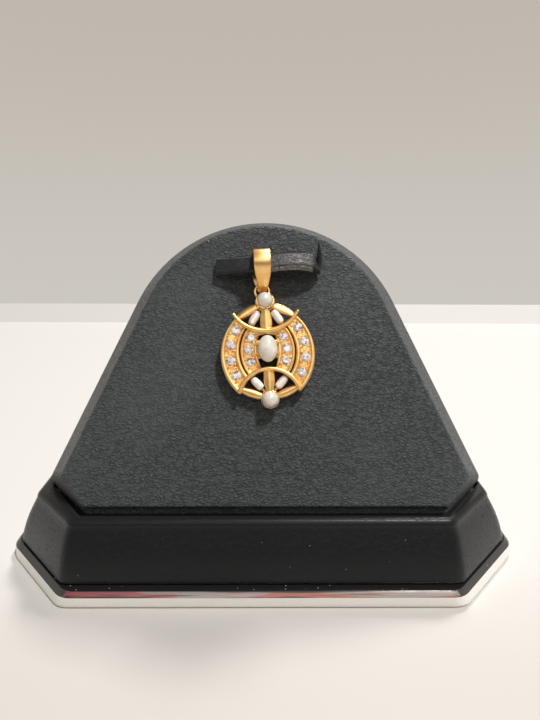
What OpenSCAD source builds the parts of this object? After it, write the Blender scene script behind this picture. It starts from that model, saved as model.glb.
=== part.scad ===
// Openwork pearl and stone pendant, held by its bail on the strap of a small leaning display stand.
// The origin is the centre of the base plate's underside. The stand faces -Y, and +X is its long side.

/* [Base plate] */
// Half of the plate's width
plate_half_w = 47.1; // [46.9:0.1:47.5]
// Half of the plate's depth
plate_half_d = 23.4; // [22.8:0.1:24.5]
// Thickness of the plate
plate_t = 2.9; // [2.5:0.1:3.5]
// How far the plate's cut corners stand out past the block's
plate_margin = 0.8; // [0.6:0.1:1.4]
// Radius of the plate's corners
plate_corner_r = 4.0; // [2:0.5:5]

/* [Base block] */
// Half of the block's width at its foot
block_half_w = 45.7; // [45.5:0.1:45.9]
// Half of the block's depth at its foot
block_half_d = 21.5; // [21:0.1:22]
// Height of the block's top above the table
ledge_z = 13.2; // [11.6:0.2:14]
// Length along X that each cut corner takes off
corner_cut_x = 12.0; // [9:0.2:12]
// Length along Y that each cut corner takes off
corner_cut_y = 12.2; // [10:0.2:12.4]
// How far each wall leans in over the block's height
wall_inset = 3.7; // [3.1:0.1:3.8]
// How much more the walls at the sides lean in than the others
side_spread = 1.19; // [1.1:0.01:1.2]
// Radius of the block's upright corners
block_corner_r = 1.6; // [1:0.2:2.5]
// Depth of the recess that the panel stands in
recess_depth = 1.4; // [1:0.1:2]
// Groove left in front of the panel's foot
groove_front = 1.3; // [1:0.1:1.5]
// Groove left beside the panel's foot
groove_side = 0.5; // [0.4:0.05:0.6]

/* [Panel] */
// How far the panel stands off the block's middle, along X
panel_x = 0.5; // [0:0.1:0.5]
// Lean of the panel from the upright, in degrees
lean = 27; // [24:0.5:28]
// Distance of the panel's foot behind the block's front edge
foot_inset = 6.0; // [5.8:0.1:6.6]
// Half width of the panel's face at its foot
face_half_w = 31.3; // [30:0.1:31.4]
// Lean of the lower corner edges from the upright, in degrees
corner_lean = 37; // [34:0.5:37.5]
// Lean of the face's long side edges from the upright, in degrees
side_lean = 23.6; // [23:0.2:25]
// Radius of the arch at the top of the face
arch_r = 23.8; // [23:0.1:24.5]
// Height along the face of the arch's centre
arch_t = 28.9; // [28:0.1:29.5]
// Thickness of the panel
panel_t = 9; // [7:0.1:9.1]
// How much wider the panel's back is than its face, all round
flare = 4.1; // [3:0.1:4.2]
// Radius of the panel's front edge
edge_r = 0.8; // [0.5:0.1:1]

/* [Strap] */
// Width of the strap where the bail holds it
strap_w = 3.6; // [3.2:0.05:3.65]
// Thickness of the strap where the bail holds it
strap_t = 1.1; // [0.9:0.05:1.15]

/* [Pendant] */
// Place of the pendant's centre across the panel
pendant_x = 0.44; // [0.3:0.02:0.6]
// Place of the pendant's centre along the panel
pendant_along = 28.2; // [28.1:0.02:28.3]
// Tilt of the pendant in the panel's plane, in degrees
pendant_tilt = 3.1; // [2.8:0.05:3.4]
// Height of the pendant's back over the panel, at its centre
pendant_gap = 1.11; // [1.05:0.01:1.3]
// How far the pendant leans off the panel towards its bail, in degrees
pendant_rise = 2.5; // [2.4:0.1:2.7]
// Thickness of the gold bands
band_t = 1.35; // [1.2:0.05:1.5]
// Depth of the sunken channels that hold the stones
channel_depth = 0.4; // [0.3:0.05:0.5]
// Half width of the stone channels
channel_half_w = 0.95; // [0.93:0.01:1]
// Diameter of each round stone
stone_d = 1.75; // [1.7:0.01:1.76]
// Height of the two raised crescent bars
bar_t = 1.95; // [1.7:0.05:2.2]

/* [Pearls] */
// Radius of the top pearl
top_pearl_r = 1.38; // [1.3:0.01:1.39]
// Radius of the bottom pearl
bottom_pearl_r = 1.46; // [1.36:0.01:1.47]
// Half width of the oval centre pearl
oval_half_w = 1.73; // [1.6:0.01:1.74]
// Half height of the oval centre pearl
oval_half_h = 2.42; // [2.3:0.01:2.5]

/* [Bail] */
// Width of the bail at its top
bail_w = 3.0; // [2.6:0.1:3.2]
// Thickness of the bail's band
bail_t = 0.4; // [0.35:0.01:0.42]
// Outer radius of the bail's top bend
bail_r = 2.6; // [2.58:0.01:2.64]
// Radius of the jump ring's middle line
ring_r = 1.3; // [1.28:0.01:1.31]
// Thickness of the jump ring's wire
ring_wire = 0.46; // [0.42:0.01:0.48]

/* [Hidden] */
$fn = 64;
// Clearance between two pieces that meet
gap = 0.1;
// Clearance between a jewel and its metal
jewel_gap = 0.05;

// Plain geometry helpers
function unit(v) = v / norm(v);
function mirrored(points) = concat(points, [for (i = [len(points) - 1:-1:0]) [-points[i].x, points[i].y]]);
// Where two lines meet, each given as [normal, distance]
function crossing(a, b) =
  let (d = a[0].x * b[0].y - a[0].y * b[0].x)
  [(a[1] * b[0].y - b[1] * a[0].y) / d, (a[0].x * b[1] - b[0].x * a[1]) / d];
// A convex outline, anticlockwise, with each corner rounded to radius r by n chords
function rounded(corners, r, n) = [
  for (i = [0:len(corners) - 1])
    let (
      corner = corners[i],
      to_last = unit(corners[(i + len(corners) - 1) % len(corners)] - corner),
      to_next = unit(corners[(i + 1) % len(corners)] - corner),
      half = acos(to_last * to_next) / 2,
      centre = corner + unit(to_last + to_next) * r / sin(half),
      start = corner + to_last * r / tan(half) - centre,
      first = atan2(start.y, start.x)
    )
    for (k = [0:n])
      let (a = first + k * (180 - 2 * half) / n)
      centre + r * [cos(a), sin(a)]
];

// A closed solid through rings of equal length, anticlockwise seen from the last ring's side
module skin(rings) {
  n = len(rings[0]);
  last = len(rings) - 1;
  sides = [
    for (k = [0:last - 1])
      for (i = [0:n - 1])
        let (j = (i + 1) % n)
        each [[k * n + i, k * n + n + i, k * n + n + j], [k * n + i, k * n + n + j, k * n + j]]
  ];
  bottom = [for (i = [0:n - 1]) i];
  top = [for (i = [n - 1:-1:0]) last * n + i];
  polyhedron(points=[for (ring = rings) each ring], faces=concat([bottom], sides, [top]), convexity=6);
}

// Two circles of radius r and r2 whose centres are dist apart along Y, joined by their tangents
module teardrop2d(r, r2, dist) {
  a = asin((r - r2) / dist);
  circle(r=r);
  translate([0, -dist]) circle(r=r2);
  polygon([
    r * [cos(a), -sin(a)],
    r * [-cos(a), -sin(a)],
    [-r2 * cos(a), -dist - r2 * sin(a)],
    [r2 * cos(a), -dist - r2 * sin(a)],
  ]);
}

// The outline between two arcs over the chord from p to q, which bulge by left and right of it
module leaf2d(p, q, left, right) {
  c = norm(q - p);
  r_left = (c * c / 4 + left * left) / (2 * left);
  r_right = (c * c / 4 + right * right) / (2 * right);
  translate((p + q) / 2)
    rotate(atan2(q.y - p.y, q.x - p.x))
      intersection() {
        translate([0, left - r_left]) circle(r=r_left);
        translate([0, r_right - right]) circle(r=r_right);
      }
}

// A leaf with a rounded crown: its arcs fall by drop from the top at their widest
module leaf(p, q, left, right, low, top, drop) {
  half = (left + right) / 2;
  crown_r = (half * half + drop * drop) / (2 * drop);
  c = norm(q - p);
  intersection() {
    translate([0, 0, low]) linear_extrude(top - low) leaf2d(p, q, left, right);
    translate([(p.x + q.x) / 2, (p.y + q.y) / 2, 0])
      rotate([0, 0, atan2(q.y - p.y, q.x - p.x)])
        rotate([90, 0, 90])
          translate([(left - right) / 2, 0, -c / 2])
            linear_extrude(c)
              union() {
                translate([0, top - crown_r]) circle(r=crown_r);
                translate([-half, low - 0.1]) square([2 * half, top - drop - low + 0.1]);
              }
  }
}

// Frames of the leaning parts
foot_y = foot_inset - block_half_d;
module on_panel() translate([panel_x, foot_y, ledge_z]) rotate([90 - lean, 0, 0]) children();
module on_pendant()
  on_panel()
    translate([pendant_x, pendant_along, pendant_gap])
      rotate([0, 0, pendant_tilt])
        rotate([pendant_rise, 0, 0])
          children();

// Base plate: a polished slab, a little larger than the block on it
corner_n = unit([corner_cut_y, corner_cut_x]);
corner_c = corner_n * [block_half_w - corner_cut_x, block_half_d];
function plan(half_w, half_d, c, r, n) =
  let (
    front = (c - corner_n.y * half_d) / corner_n.x,
    side = (c - corner_n.x * half_w) / corner_n.y
  )
  rounded([
    [half_w, -side], [half_w, side], [front, half_d], [-front, half_d],
    [-half_w, side], [-half_w, -side], [-front, -half_d], [front, -half_d],
  ], r, n);

module base_plate()
  color("silver")
    linear_extrude(plate_t)
      polygon(plan(plate_half_w, plate_half_d, corner_c + plate_margin, plate_corner_r, 4));

// Base block: walls that lean in, a soft top edge and a recess round the panel's foot
// Columns: height above the table, inset from the foot's outline
block_low = plate_t + gap;
block_rows = [
  [block_low, 0.35],
  [block_low + 0.5, 0.15],
  [ledge_z - 1.2, wall_inset - 0.35],
  [ledge_z - 0.45, wall_inset],
  [ledge_z - 0.12, wall_inset + 0.25],
  [ledge_z, wall_inset + 0.6],
];
// How far back a point of the panel's sole lies for each mm under the face
sole_back = 1 / cos(lean);
foot_side = face_half_w + panel_t * (tan(lean) * tan(corner_lean) + flare / panel_t / cos(corner_lean));
foot_back = foot_y + panel_t * sole_back;

module base_block()
  color([0.07, 0.07, 0.08])
    difference() {
      skin([
        for (row = block_rows)
          [for (p = plan(block_half_w - side_spread * row[1], block_half_d - row[1], corner_c - row[1], block_corner_r, 4))
            [p.x, p.y, row[0]]]
      ]);
      translate([panel_x, 0, ledge_z - recess_depth])
        linear_extrude(recess_depth + 1)
          polygon([
            [face_half_w, foot_y - groove_front],
            [foot_side + groove_side, foot_back - groove_side],
            [foot_side + groove_side, foot_back + groove_side],
            [-foot_side - groove_side, foot_back + groove_side],
            [-foot_side - groove_side, foot_back - groove_side],
            [-face_half_w, foot_y - groove_front],
          ]);
    }

// Panel: an arched slab whose sides flare to its back, its sole cut level to stand in the recess
sole_z = ledge_z - recess_depth + gap;
arch_steps = 24;
function panel_ring(grow, depth) =
  let (
    lower = [[cos(corner_lean), -sin(corner_lean)], face_half_w * cos(corner_lean) + grow],
    side = [[cos(side_lean), sin(side_lean)], arch_r + grow + arch_t * sin(side_lean)],
    sole = [[0, 1], (sole_z - ledge_z + depth * sin(lean)) / cos(lean)],
    half = concat(
      [crossing(lower, sole), crossing(lower, side)],
      [for (k = [0:arch_steps / 2])
        let (a = side_lean + k * (90 - side_lean) / (arch_steps / 2))
        [0, arch_t] + (arch_r + grow) * [cos(a), sin(a)]]
    )
  )
  [for (p = mirrored(half)) [p.x, p.y, -depth]];

module panel()
  color([0.16, 0.16, 0.17])
    on_panel()
      skin([
        panel_ring(flare - 0.5, panel_t),
        panel_ring(flare, panel_t - 0.5),
        panel_ring(0, edge_r),
        panel_ring(-0.3 * edge_r, 0.3 * edge_r),
        panel_ring(-edge_r, 0),
      ]);

// Strap: a leather strip that bridges the panel's face and turns to the light on its way
// Columns: x, place along the panel, height over it, slope of the path, turn, width, thickness
strap_rows = [
  [-9.0, 43.75, 0.95, 12, 6, 3.4, 1.0],
  [-7.0, 43.7, 1.4, 14, 10, 3.4, 1.0],
  [-4.3, 43.6, 2.2, 14, 17, 3.5, 1.05],
  [-2.2, 43.6, 2.75, 7, 22, strap_w, strap_t],
  [-0.5, 43.62, 2.95, 3, 25, strap_w, strap_t],
  [1.2, 43.7, 3.0, 1, 28, strap_w, strap_t],
  [2.7, 43.95, 3.05, 0, 32, 3.75, 1.35],
  [4.5, 44.1, 3.05, 0, 34, 3.85, 1.5],
  [6.5, 44.15, 2.95, -8, 34, 3.85, 1.5],
  [8.2, 44.1, 2.5, -32, 24, 3.7, 1.4],
  [9.2, 44.05, 1.75, -62, 12, 3.5, 1.3],
  [9.55, 44.0, 1.0, -84, 4, 3.3, 1.2],
];
function strap_ring(row) =
  let (
    slope = row[3],
    turn = row[4],
    w = row[5],
    t = row[6],
    out = [-sin(slope), 0, cos(slope)],
    along = [0, 1, 0],
    wide = cos(turn) * along - sin(turn) * out,
    thick = sin(turn) * along + cos(turn) * out,
    section = rounded([[-w / 2, -t / 2], [w / 2, -t / 2], [w / 2, t / 2], [-w / 2, t / 2]], t / 3, 3)
  )
  [for (p = section) [row[0], row[1], row[2]] + p.x * wide + p.y * thick];

// The strip's pointed end stands up beside its fold
// Columns: place along the panel, x, height over the panel, width, thickness
tip_rows = [
  [43.6, 9.75, 1.7, 1.3, 1.0],
  [45.0, 9.95, 2.5, 1.5, 0.9],
  [46.0, 9.85, 3.1, 1.25, 0.75],
  [46.9, 9.7, 3.6, 0.8, 0.5],
  [47.6, 9.6, 3.95, 0.2, 0.2],
];
module strap()
  color([0.1, 0.1, 0.11])
    on_panel() {
      skin([for (row = strap_rows) strap_ring(row)]);
      skin([
        for (i = [len(tip_rows) - 1:-1:0])
          let (row = tip_rows[i])
          [for (k = [0:11])
            let (a = k * 30)
            [row[1] + row[3] / 2 * cos(a), row[0] - row[4] / 4 * sin(a), row[2] + row[4] / 2 * sin(a)]]
      ]);
    }

// Pendant, in its own frame: x across, y towards the bail, z out from its back
cup_top = 1.4;
pearl_z = 1.6;
// Columns: radius of the cup, place of its centre, place of its pearl, underside
top_cup = [1.55, 8.6, 8.86, -0.1];
bottom_cup = [1.72, -8.95, -8.95, -0.6];
oval_z = 1.75;
// Columns: centre x for the right-hand arc, centre y, radius
outline_arc = [-1.04, -0.94, 9.41];
outer_lens_arc = [-2.24, -0.4, 7.36];
inner_lens_arc = [-2.24, -0.4, 7.06];
opening_arc = [-7.05, -0.1, 8.9];
// Columns: centre y, radius, of the bar's edge towards the centre and of its other edge
upper_bar = [[9.45, 6.65], [10.4, 6.7]];
lower_bar = [[-9.2, 6.0], [-9.0, 5.12]];
// Columns: centre x, centre y, radius, first angle, step, count
outer_row = [-1.6, -0.7, 8.31, 31.0, -19.3, 4];
inner_row = [-2.4, -0.4, 5.83, 24.4, -21.35, 3];

module lens(arc)
  intersection() {
    translate([arc[0], arc[1]]) circle(r=arc[2]);
    translate([-arc[0], arc[1]]) circle(r=arc[2]);
  }
module bar2d(bar, reach, end_y) {
  intersection() {
    difference() {
      translate([0, bar[0][0]]) circle(r=bar[0][1]);
      translate([0, bar[1][0]]) circle(r=bar[1][1]);
    }
    translate([-reach, min(end_y, 0)]) square([2 * reach, abs(end_y)]);
  }
}
module fan_areas(inset) {
  translate([0, upper_bar[0][0]]) circle(r=upper_bar[0][1] - inset);
  translate([0, lower_bar[0][0]]) circle(r=lower_bar[0][1] - inset);
}
module channel2d(row) {
  difference() {
    lens([row[0], row[1], row[2] + channel_half_w]);
    lens([row[0], row[1], row[2] - channel_half_w]);
  }
}
function row_place(row, k) =
  let (a = row[3] + k * row[4])
  [row[0] + row[2] * cos(a), row[1] + row[2] * sin(a)];

// A round stone: table, crown, girdle and pavilion
stone_rim_z = 1.22;
crown_h = 0.16 * stone_d;
girdle_h = 0.05;
pavilion_h = 0.43 * stone_d;
// Corners on a circle of radius r at height z, the first on the X axis
function ring_points(r, z, sides) = [
  for (k = [0:sides - 1])
    let (a = k * 360 / sides)
    [r * cos(a), r * sin(a), z]
];
table_r = 0.29 * stone_d;
table_sides = 8;
rim_sides = 2 * table_sides;
module round_stone() {
  rim = table_sides;
  under = rim + rim_sides;
  culet = under + rim_sides;
  polyhedron(
    points=concat(
      ring_points(table_r, crown_h, table_sides),
      ring_points(stone_d / 2, 0, rim_sides),
      ring_points(stone_d / 2, -girdle_h, rim_sides),
      [[0, 0, -girdle_h - pavilion_h]]
    ),
    faces=concat(
      [[for (k = [table_sides - 1:-1:0]) k]],
      [
        for (k = [0:table_sides - 1])
          let (
            next = (k + 1) % table_sides,
            before = rim + (2 * k + rim_sides - 1) % rim_sides
          )
          each [[k, rim + 2 * k, before], [k, rim + 2 * k + 1, rim + 2 * k], [k, next, rim + 2 * k + 1]]
      ],
      [
        for (i = [0:rim_sides - 1])
          let (j = (i + 1) % rim_sides)
          each [[under + i, rim + i, rim + j, under + j], [culet, under + i, under + j]]
      ]
    )
  );
}
module stone_at(row, k, side) {
  p = row_place(row, k);
  color([0.93, 0.93, 0.97])
    on_pendant()
      translate([side * p.x, p.y, stone_rim_z])
        round_stone();
}
// The seat is the stone's own cone, set lower by the clearance
module stone_seats(row) {
  tip = stone_rim_z - girdle_h - pavilion_h - jewel_gap - 0.02;
  rise = band_t - channel_depth + jewel_gap - tip;
  for (k = [0:row[5] - 1])
    for (side = [-1, 1])
      translate([side * row_place(row, k).x, row_place(row, k).y, tip])
        cylinder(r1=0.02, r2=rise * stone_d / 2 / pavilion_h, h=rise);
}
// Two grains of metal between each two stones of a row
grain_r = 0.24;
module grains(row) {
  for (k = [0:row[5] - 2])
    for (side = [-1, 1])
      for (across = [-0.5, 0.5])
        let (a = row[3] + (k + 0.5) * row[4])
        translate([
          side * (row[0] + (row[2] + across) * cos(a)),
          row[1] + (row[2] + across) * sin(a),
          band_t - channel_depth + 0.06,
        ])
          sphere(r=grain_r);
}

module bands()
  difference() {
    linear_extrude(band_t)
      difference() {
        union() {
          difference() {
            lens(outline_arc);
            lens(outer_lens_arc);
          }
          difference() {
            lens(inner_lens_arc);
            intersection() {
              lens(opening_arc);
              translate([-3, -6]) square([6, 8.6]);
            }
          }
        }
        fan_areas(0.3);
      }
    translate([0, 0, band_t - channel_depth])
      linear_extrude(1)
        difference() {
          union() {
            channel2d(outer_row);
            channel2d(inner_row);
          }
          fan_areas(-0.35);
        }
    stone_seats(outer_row);
    stone_seats(inner_row);
  }

// The bars stand higher than the bands, with a step along both edges
module bars()
  for (step = [[0, bar_t - 0.25], [0.13, bar_t]])
    linear_extrude(step[1])
      union() {
        bar2d([upper_bar[0] - [0, step[0]], upper_bar[1] + [0, step[0]]], 5.9 - step[0], 7);
        bar2d([lower_bar[0] - [0, step[0]], lower_bar[1] + [0, step[0]]], 5.95 - step[0], -7.75 + step[0]);
      }

// Gold leaves of the two fans, for the right side and mirrored
// Columns: outer end, end at the cup, bulge on either side
side_leaves = [
  [[5.3, 5.45], [0.6, 7.95], 0.28, 0.72],
  [[5.35, -6.75], [0.6, -8.6], 0.85, 0.62],
];
// Columns: outer end, end at the cup, bulge on either side, half length that is kept
white_leaves = [
  [[3.09, 4.16], [0.97, 7.44], 0.64, 0.64, 1.38],
  [[3.3, -4.72], [0.95, -7.33], 0.66, 0.66, 1.28],
];
centre_leaves = [
  [[0, 1.3], [0, 8.1], 1.0, 1.0],
  [[0, -1.1], [0, -8.2], 1.0, 1.0],
];
leaf_low = 0.2;
leaf_top = 1.35;
stem_t = 0.28;
module gold_leaves() {
  for (side = [0, 1])
    mirror([side, 0, 0])
      for (row = side_leaves)
        leaf(row[0], row[1], row[2], row[3], leaf_low, leaf_top, 0.2);
  for (row = centre_leaves)
    intersection() {
      leaf(row[0], row[1], row[2], row[3], leaf_low, leaf_top, 0.35);
      linear_extrude(3) fan_areas(0.3);
    }
}
// A thin stem under each white leaf carries it between its cup and its bar
module stems()
  for (side = [0, 1])
    mirror([side, 0, 0])
      for (row = white_leaves) {
        start = row[0] + unit(row[0] - row[1]) * 0.5;
        length = norm(start - row[1]) + 0.7;
        translate([start.x, start.y, 0])
          rotate([0, 0, atan2(row[1].y - start.y, row[1].x - start.x)])
            translate([0, -0.25, 0])
              cube([length, 0.5, stem_t]);
      }
module white_leaf(row, side)
  color([0.9, 0.89, 0.88])
    on_pendant()
      scale([side, 1, 1])
        intersection() {
          leaf(row[0], row[1], row[2], row[3], stem_t + jewel_gap, leaf_top, 0.3);
          translate([(row[0].x + row[1].x) / 2, (row[0].y + row[1].y) / 2, 0]) cylinder(r=row[4], h=3);
        }

// A cup with four small claws, and the round seat that its pearl lies in
module cup(row)
  translate([0, row[1], 0]) {
    translate([0, 0, row[3]]) cylinder(r=row[0], h=cup_top - row[3]);
    for (a = [45:90:315])
      translate([(row[0] - 0.12) * cos(a), (row[0] - 0.12) * sin(a), cup_top])
        sphere(r=0.2);
  }
module seat(row, pearl_r) translate([0, row[2], pearl_z]) sphere(r=pearl_r + jewel_gap);

// Cross strip and four claws that hold the centre pearl
rest_t = 0.5;
module pearl_rest() {
  translate([-2.4, -1.1, 0]) cube([4.8, 2.2, rest_t]);
  for (x = [-2.0, 2.0])
    for (y = [-0.95, 0.95])
      translate([x, y, 0]) {
        cylinder(r=0.22, h=oval_z);
        translate([0, 0, oval_z]) sphere(r=0.22);
      }
}

// Eye behind the top cup, for the jump ring
ring_x = -0.42;
ring_y = 10.9;
ring_z = -0.43;
eye_y = 9.67;
eye_r = 0.5;
eye_wire = 0.3;
module eye()
  translate([0, eye_y, ring_z])
    rotate([0, 90, 0])
      rotate_extrude()
        translate([eye_r, 0]) circle(r=eye_wire / 2);

module pendant_frame()
  color([0.93, 0.69, 0.3])
    on_pendant()
      difference() {
        union() {
          bands();
          bars();
          gold_leaves();
          stems();
          grains(outer_row);
          grains(inner_row);
          cup(top_cup);
          cup(bottom_cup);
          pearl_rest();
          eye();
        }
        seat(top_cup, top_pearl_r);
        seat(bottom_cup, bottom_pearl_r);
      }

// Pearls: two round ones, and an oval one with a flat back
module top_pearl()
  color([0.95, 0.92, 0.87]) on_pendant() translate([0, top_cup[2], pearl_z]) sphere(r=top_pearl_r);
module bottom_pearl()
  color([0.95, 0.92, 0.87]) on_pendant() translate([0, bottom_cup[2], pearl_z]) sphere(r=bottom_pearl_r);

// The oval is drawn with a small arc at each end and a long arc down each side
oval_end_r = 1.3;
oval_side_r =
  (pow(oval_half_h - oval_end_r, 2) + pow(oval_half_w, 2) - pow(oval_end_r, 2)) / 2 / (oval_half_w - oval_end_r);
oval_join = (oval_half_h - oval_end_r) * oval_side_r / (oval_side_r - oval_end_r);
module oval_half2d() {
  intersection() {
    translate([oval_half_w - oval_side_r, 0]) circle(r=oval_side_r);
    translate([0, -oval_join]) square([oval_half_w + 1, 2 * oval_join]);
  }
  for (end = [-1, 1])
    intersection() {
      translate([0, end * (oval_half_h - oval_end_r)]) circle(r=oval_end_r);
      translate([0, end > 0 ? oval_join : -oval_join - 2]) square([2, 2]);
    }
}
module centre_pearl()
  color([0.95, 0.92, 0.87])
    on_pendant()
      intersection() {
        translate([0, 0, oval_z]) rotate([-90, 0, 0]) rotate_extrude() oval_half2d();
        translate([-3, -3, rest_t + jewel_gap]) cube([6, 6, 4]);
      }

module jump_ring()
  color([0.93, 0.69, 0.3])
    on_pendant()
      translate([ring_x, ring_y, ring_z])
        rotate_extrude()
          translate([ring_r, 0]) circle(r=ring_wire / 2);

// Bail: a band bent over the strap, tapered to the foot that holds the jump ring
bail_x = -0.1;
bail_top_y = 15.6;
bail_top_z = 1.41;
bail_foot_y = 11.18;
bail_foot_inner = 0.36;
// Columns: height along the pendant, half width of the bail
bail_rows = [
  [18.5, bail_w / 2],
  [14.4, bail_w / 2],
  [13.2, 1.38],
  [12.4, 1.12],
  [11.6, 0.87],
  [11.0, 0.62],
  [10.7, 0.45],
  [10.0, 0.45],
];
module bail()
  color([0.93, 0.69, 0.3])
    on_pendant()
      translate([bail_x, 0, 0])
        intersection() {
          translate([-bail_w / 2 - 0.5, bail_top_y, bail_top_z])
            rotate([90, 0, 90])
              linear_extrude(bail_w + 1)
                bail_band2d();
          translate([0, 0, -2]) linear_extrude(7) polygon(mirrored([for (row = bail_rows) [row[1], row[0]]]));
        }
module bail_band2d() {
  foot = [bail_foot_y - bail_top_y, ring_z - bail_top_z];
  dist = norm(foot);
  rotate(atan2(foot.y, foot.x) + 90)
    difference() {
      teardrop2d(bail_r, bail_foot_inner + bail_t, dist);
      teardrop2d(bail_r - bail_t, bail_foot_inner, dist);
    }
}

SIDES = [["left", -1], ["right", 1]];

base_plate();
base_block();
panel();
strap();
bail();
jump_ring();
pendant_frame();
top_pearl();
centre_pearl();
bottom_pearl();
for (s = SIDES) {
  white_leaf(white_leaves[0], s[1]);
  white_leaf(white_leaves[1], s[1]);
  for (k = [1:outer_row[5]])
    stone_at(outer_row, k - 1, s[1]);
  for (k = [1:inner_row[5]])
    stone_at(inner_row, k - 1, s[1]);
}
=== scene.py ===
"""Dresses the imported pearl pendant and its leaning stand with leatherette, gold, pearls and clear stones.

Sizes are in millimetres, and each piece is shaped in the frame of the table, the panel or the pendant.
When it is finished, its mesh is set in its place in metres.
"""

import logging
import math
import random
from collections.abc import Sequence
from dataclasses import dataclass
from enum import Enum

import bmesh
import bpy
from mathutils import Matrix, Vector, noise


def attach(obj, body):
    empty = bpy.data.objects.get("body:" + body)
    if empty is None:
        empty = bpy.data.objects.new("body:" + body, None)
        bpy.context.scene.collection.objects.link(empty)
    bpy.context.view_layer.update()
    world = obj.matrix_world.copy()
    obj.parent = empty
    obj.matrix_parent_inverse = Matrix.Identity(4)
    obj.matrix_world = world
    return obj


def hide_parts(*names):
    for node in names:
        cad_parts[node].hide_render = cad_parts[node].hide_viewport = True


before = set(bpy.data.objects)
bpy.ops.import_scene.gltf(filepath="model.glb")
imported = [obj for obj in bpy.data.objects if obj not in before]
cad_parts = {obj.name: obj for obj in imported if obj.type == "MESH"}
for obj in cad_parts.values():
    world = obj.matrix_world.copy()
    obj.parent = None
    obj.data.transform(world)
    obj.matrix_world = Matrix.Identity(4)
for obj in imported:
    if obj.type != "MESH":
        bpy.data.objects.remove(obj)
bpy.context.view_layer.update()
log = logging.getLogger("pearl_pendant")

Form = bpy.types.Object
Group = bpy.types.NodeTree
Material = bpy.types.Material
Ring = list[Vector]
Triple = tuple[float, float, float]
Colour = Triple
Socket = bpy.types.NodeSocket
Outputs = bpy.types.NodeOutputs
Value = float | Socket
Sockets = dict[str | int, object]

# Metres in a millimetre, and how close in millimetres two corners lie when they are merged
MM = 0.001
MERGE = 0.0005

# The panel's lean from upright in degrees, and where the middle of its face meets the block's top
LEAN = 27.0
PANEL_FOOT = Vector((0.5, -15.5, 13.2))

# The pendant's centre over the panel's face, its turn, and its lean off it towards the bail, in degrees
PENDANT_CENTRE = Vector((0.44, 28.2, 1.11))
PENDANT_TILT = 3.1
PENDANT_RISE = 2.5

# From the table's, the panel's and the pendant's frame in millimetres to the object's in metres
ON_TABLE = Matrix.Scale(MM, 4)
ON_PANEL = (
    ON_TABLE
    @ Matrix.Translation(PANEL_FOOT)
    @ Matrix.Rotation(math.radians(90 - LEAN), 4, "X")
)
ON_PENDANT = (
    ON_PANEL
    @ Matrix.Translation(PENDANT_CENTRE)
    @ Matrix.Rotation(math.radians(PENDANT_TILT), 4, "Z")
    @ Matrix.Rotation(math.radians(PENDANT_RISE), 4, "X")
)


class Side(Enum):
    """The two mirrored halves of the pendant."""

    LEFT = -1
    RIGHT = 1


class Level(Enum):
    """The upper and the lower fan of the pendant."""

    UPPER = 1
    LOWER = -1


def ease(t: float) -> float:
    """Gives a smooth rise from 0 to 1, with t clamped to 0 and 1."""
    t = min(1.0, max(0.0, t))
    return t * t * (3 - 2 * t)


def heading(angle: float) -> Vector:
    """Gives the flat direction at an angle in radians, anticlockwise from X."""
    return Vector((math.cos(angle), math.sin(angle), 0))


def arc_angle(k: int, count: int, first: float, last: float) -> float:
    """Gives the k-th of count + 1 even angles between two angles in degrees, in radians."""
    return math.radians(first + (last - first) * k / count)


def rounded(corners: Sequence[Vector], radius: float, chords: int) -> Ring:
    """Rounds each corner of a convex outline.

    Args:
        corners: The outline's corners, anticlockwise.
        radius: Radius of the rounded corners.
        chords: Number of chords in each of them.

    Returns:
        The rounded outline.
    """
    ring = []
    for i, corner in enumerate(corners):
        to_last = (corners[i - 1] - corner).normalized()
        to_next = (corners[(i + 1) % len(corners)] - corner).normalized()
        half = to_last.angle(to_next) / 2
        centre = corner + (to_last + to_next).normalized() * radius / math.sin(half)
        start = corner + to_last * radius / math.tan(half) - centre
        first = math.atan2(start.y, start.x)
        for k in range(chords + 1):
            a = first + k * (math.pi - 2 * half) / chords
            ring.append(centre + radius * heading(a))
    return ring


def respaced(ring: Ring, count: int) -> Ring:
    """Spaces points evenly along a closed outline.

    Args:
        ring: The outline.
        count: Number of points wanted.

    Returns:
        The points, from the outline's first one.
    """
    lengths = [(ring[(i + 1) % len(ring)] - p).length for i, p in enumerate(ring)]
    step = sum(lengths) / count
    points, i, gone = [], 0, 0.0
    for k in range(count):
        while gone + lengths[i] < k * step - 1e-9 and i < len(ring) - 1:
            gone += lengths[i]
            i += 1
        t = (k * step - gone) / lengths[i]
        points.append(ring[i].lerp(ring[(i + 1) % len(ring)], min(1.0, t)))
    return points


def crossing(a: tuple[Vector, float], b: tuple[Vector, float]) -> Vector:
    """Finds where two lines of a plane meet, each given as its normal and its distance."""
    d = a[0].x * b[0].y - a[0].y * b[0].x
    return Vector(((a[1] * b[0].y - b[1] * a[0].y) / d, (a[0].x * b[1] - b[0].x * a[1]) / d, 0))


def between(row: tuple[float, float, float, float], t: float) -> float:
    """Gives a value of the smooth curve between the two middle ones of four values.

    Args:
        row: The four values.
        t: How far along from the second to the third, from 0 to 1.

    Returns:
        The value.
    """
    o, p, q, r = row
    square = (2 * o - 5 * p + 4 * q - r) * t**2
    cube = (3 * p - o - 3 * q + r) * t**3
    return 0.5 * (2 * p + (q - o) * t + square + cube)


def curve_rows(rows: Sequence[Sequence[float]], steps: int) -> list[list[float]]:
    """Draws a smooth curve through the rows of a table.

    Args:
        rows: The table, a row for each point.
        steps: Number of steps from each row to the next.

    Returns:
        The finer table.
    """
    fine = []
    for i in range(len(rows) - 1):
        before, after = rows[max(0, i - 1)], rows[min(len(rows) - 1, i + 2)]
        columns = list(zip(before, rows[i], rows[i + 1], after))
        for k in range(steps):
            fine.append([between(column, k / steps) for column in columns])
    return fine + [list(rows[-1])]


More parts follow.
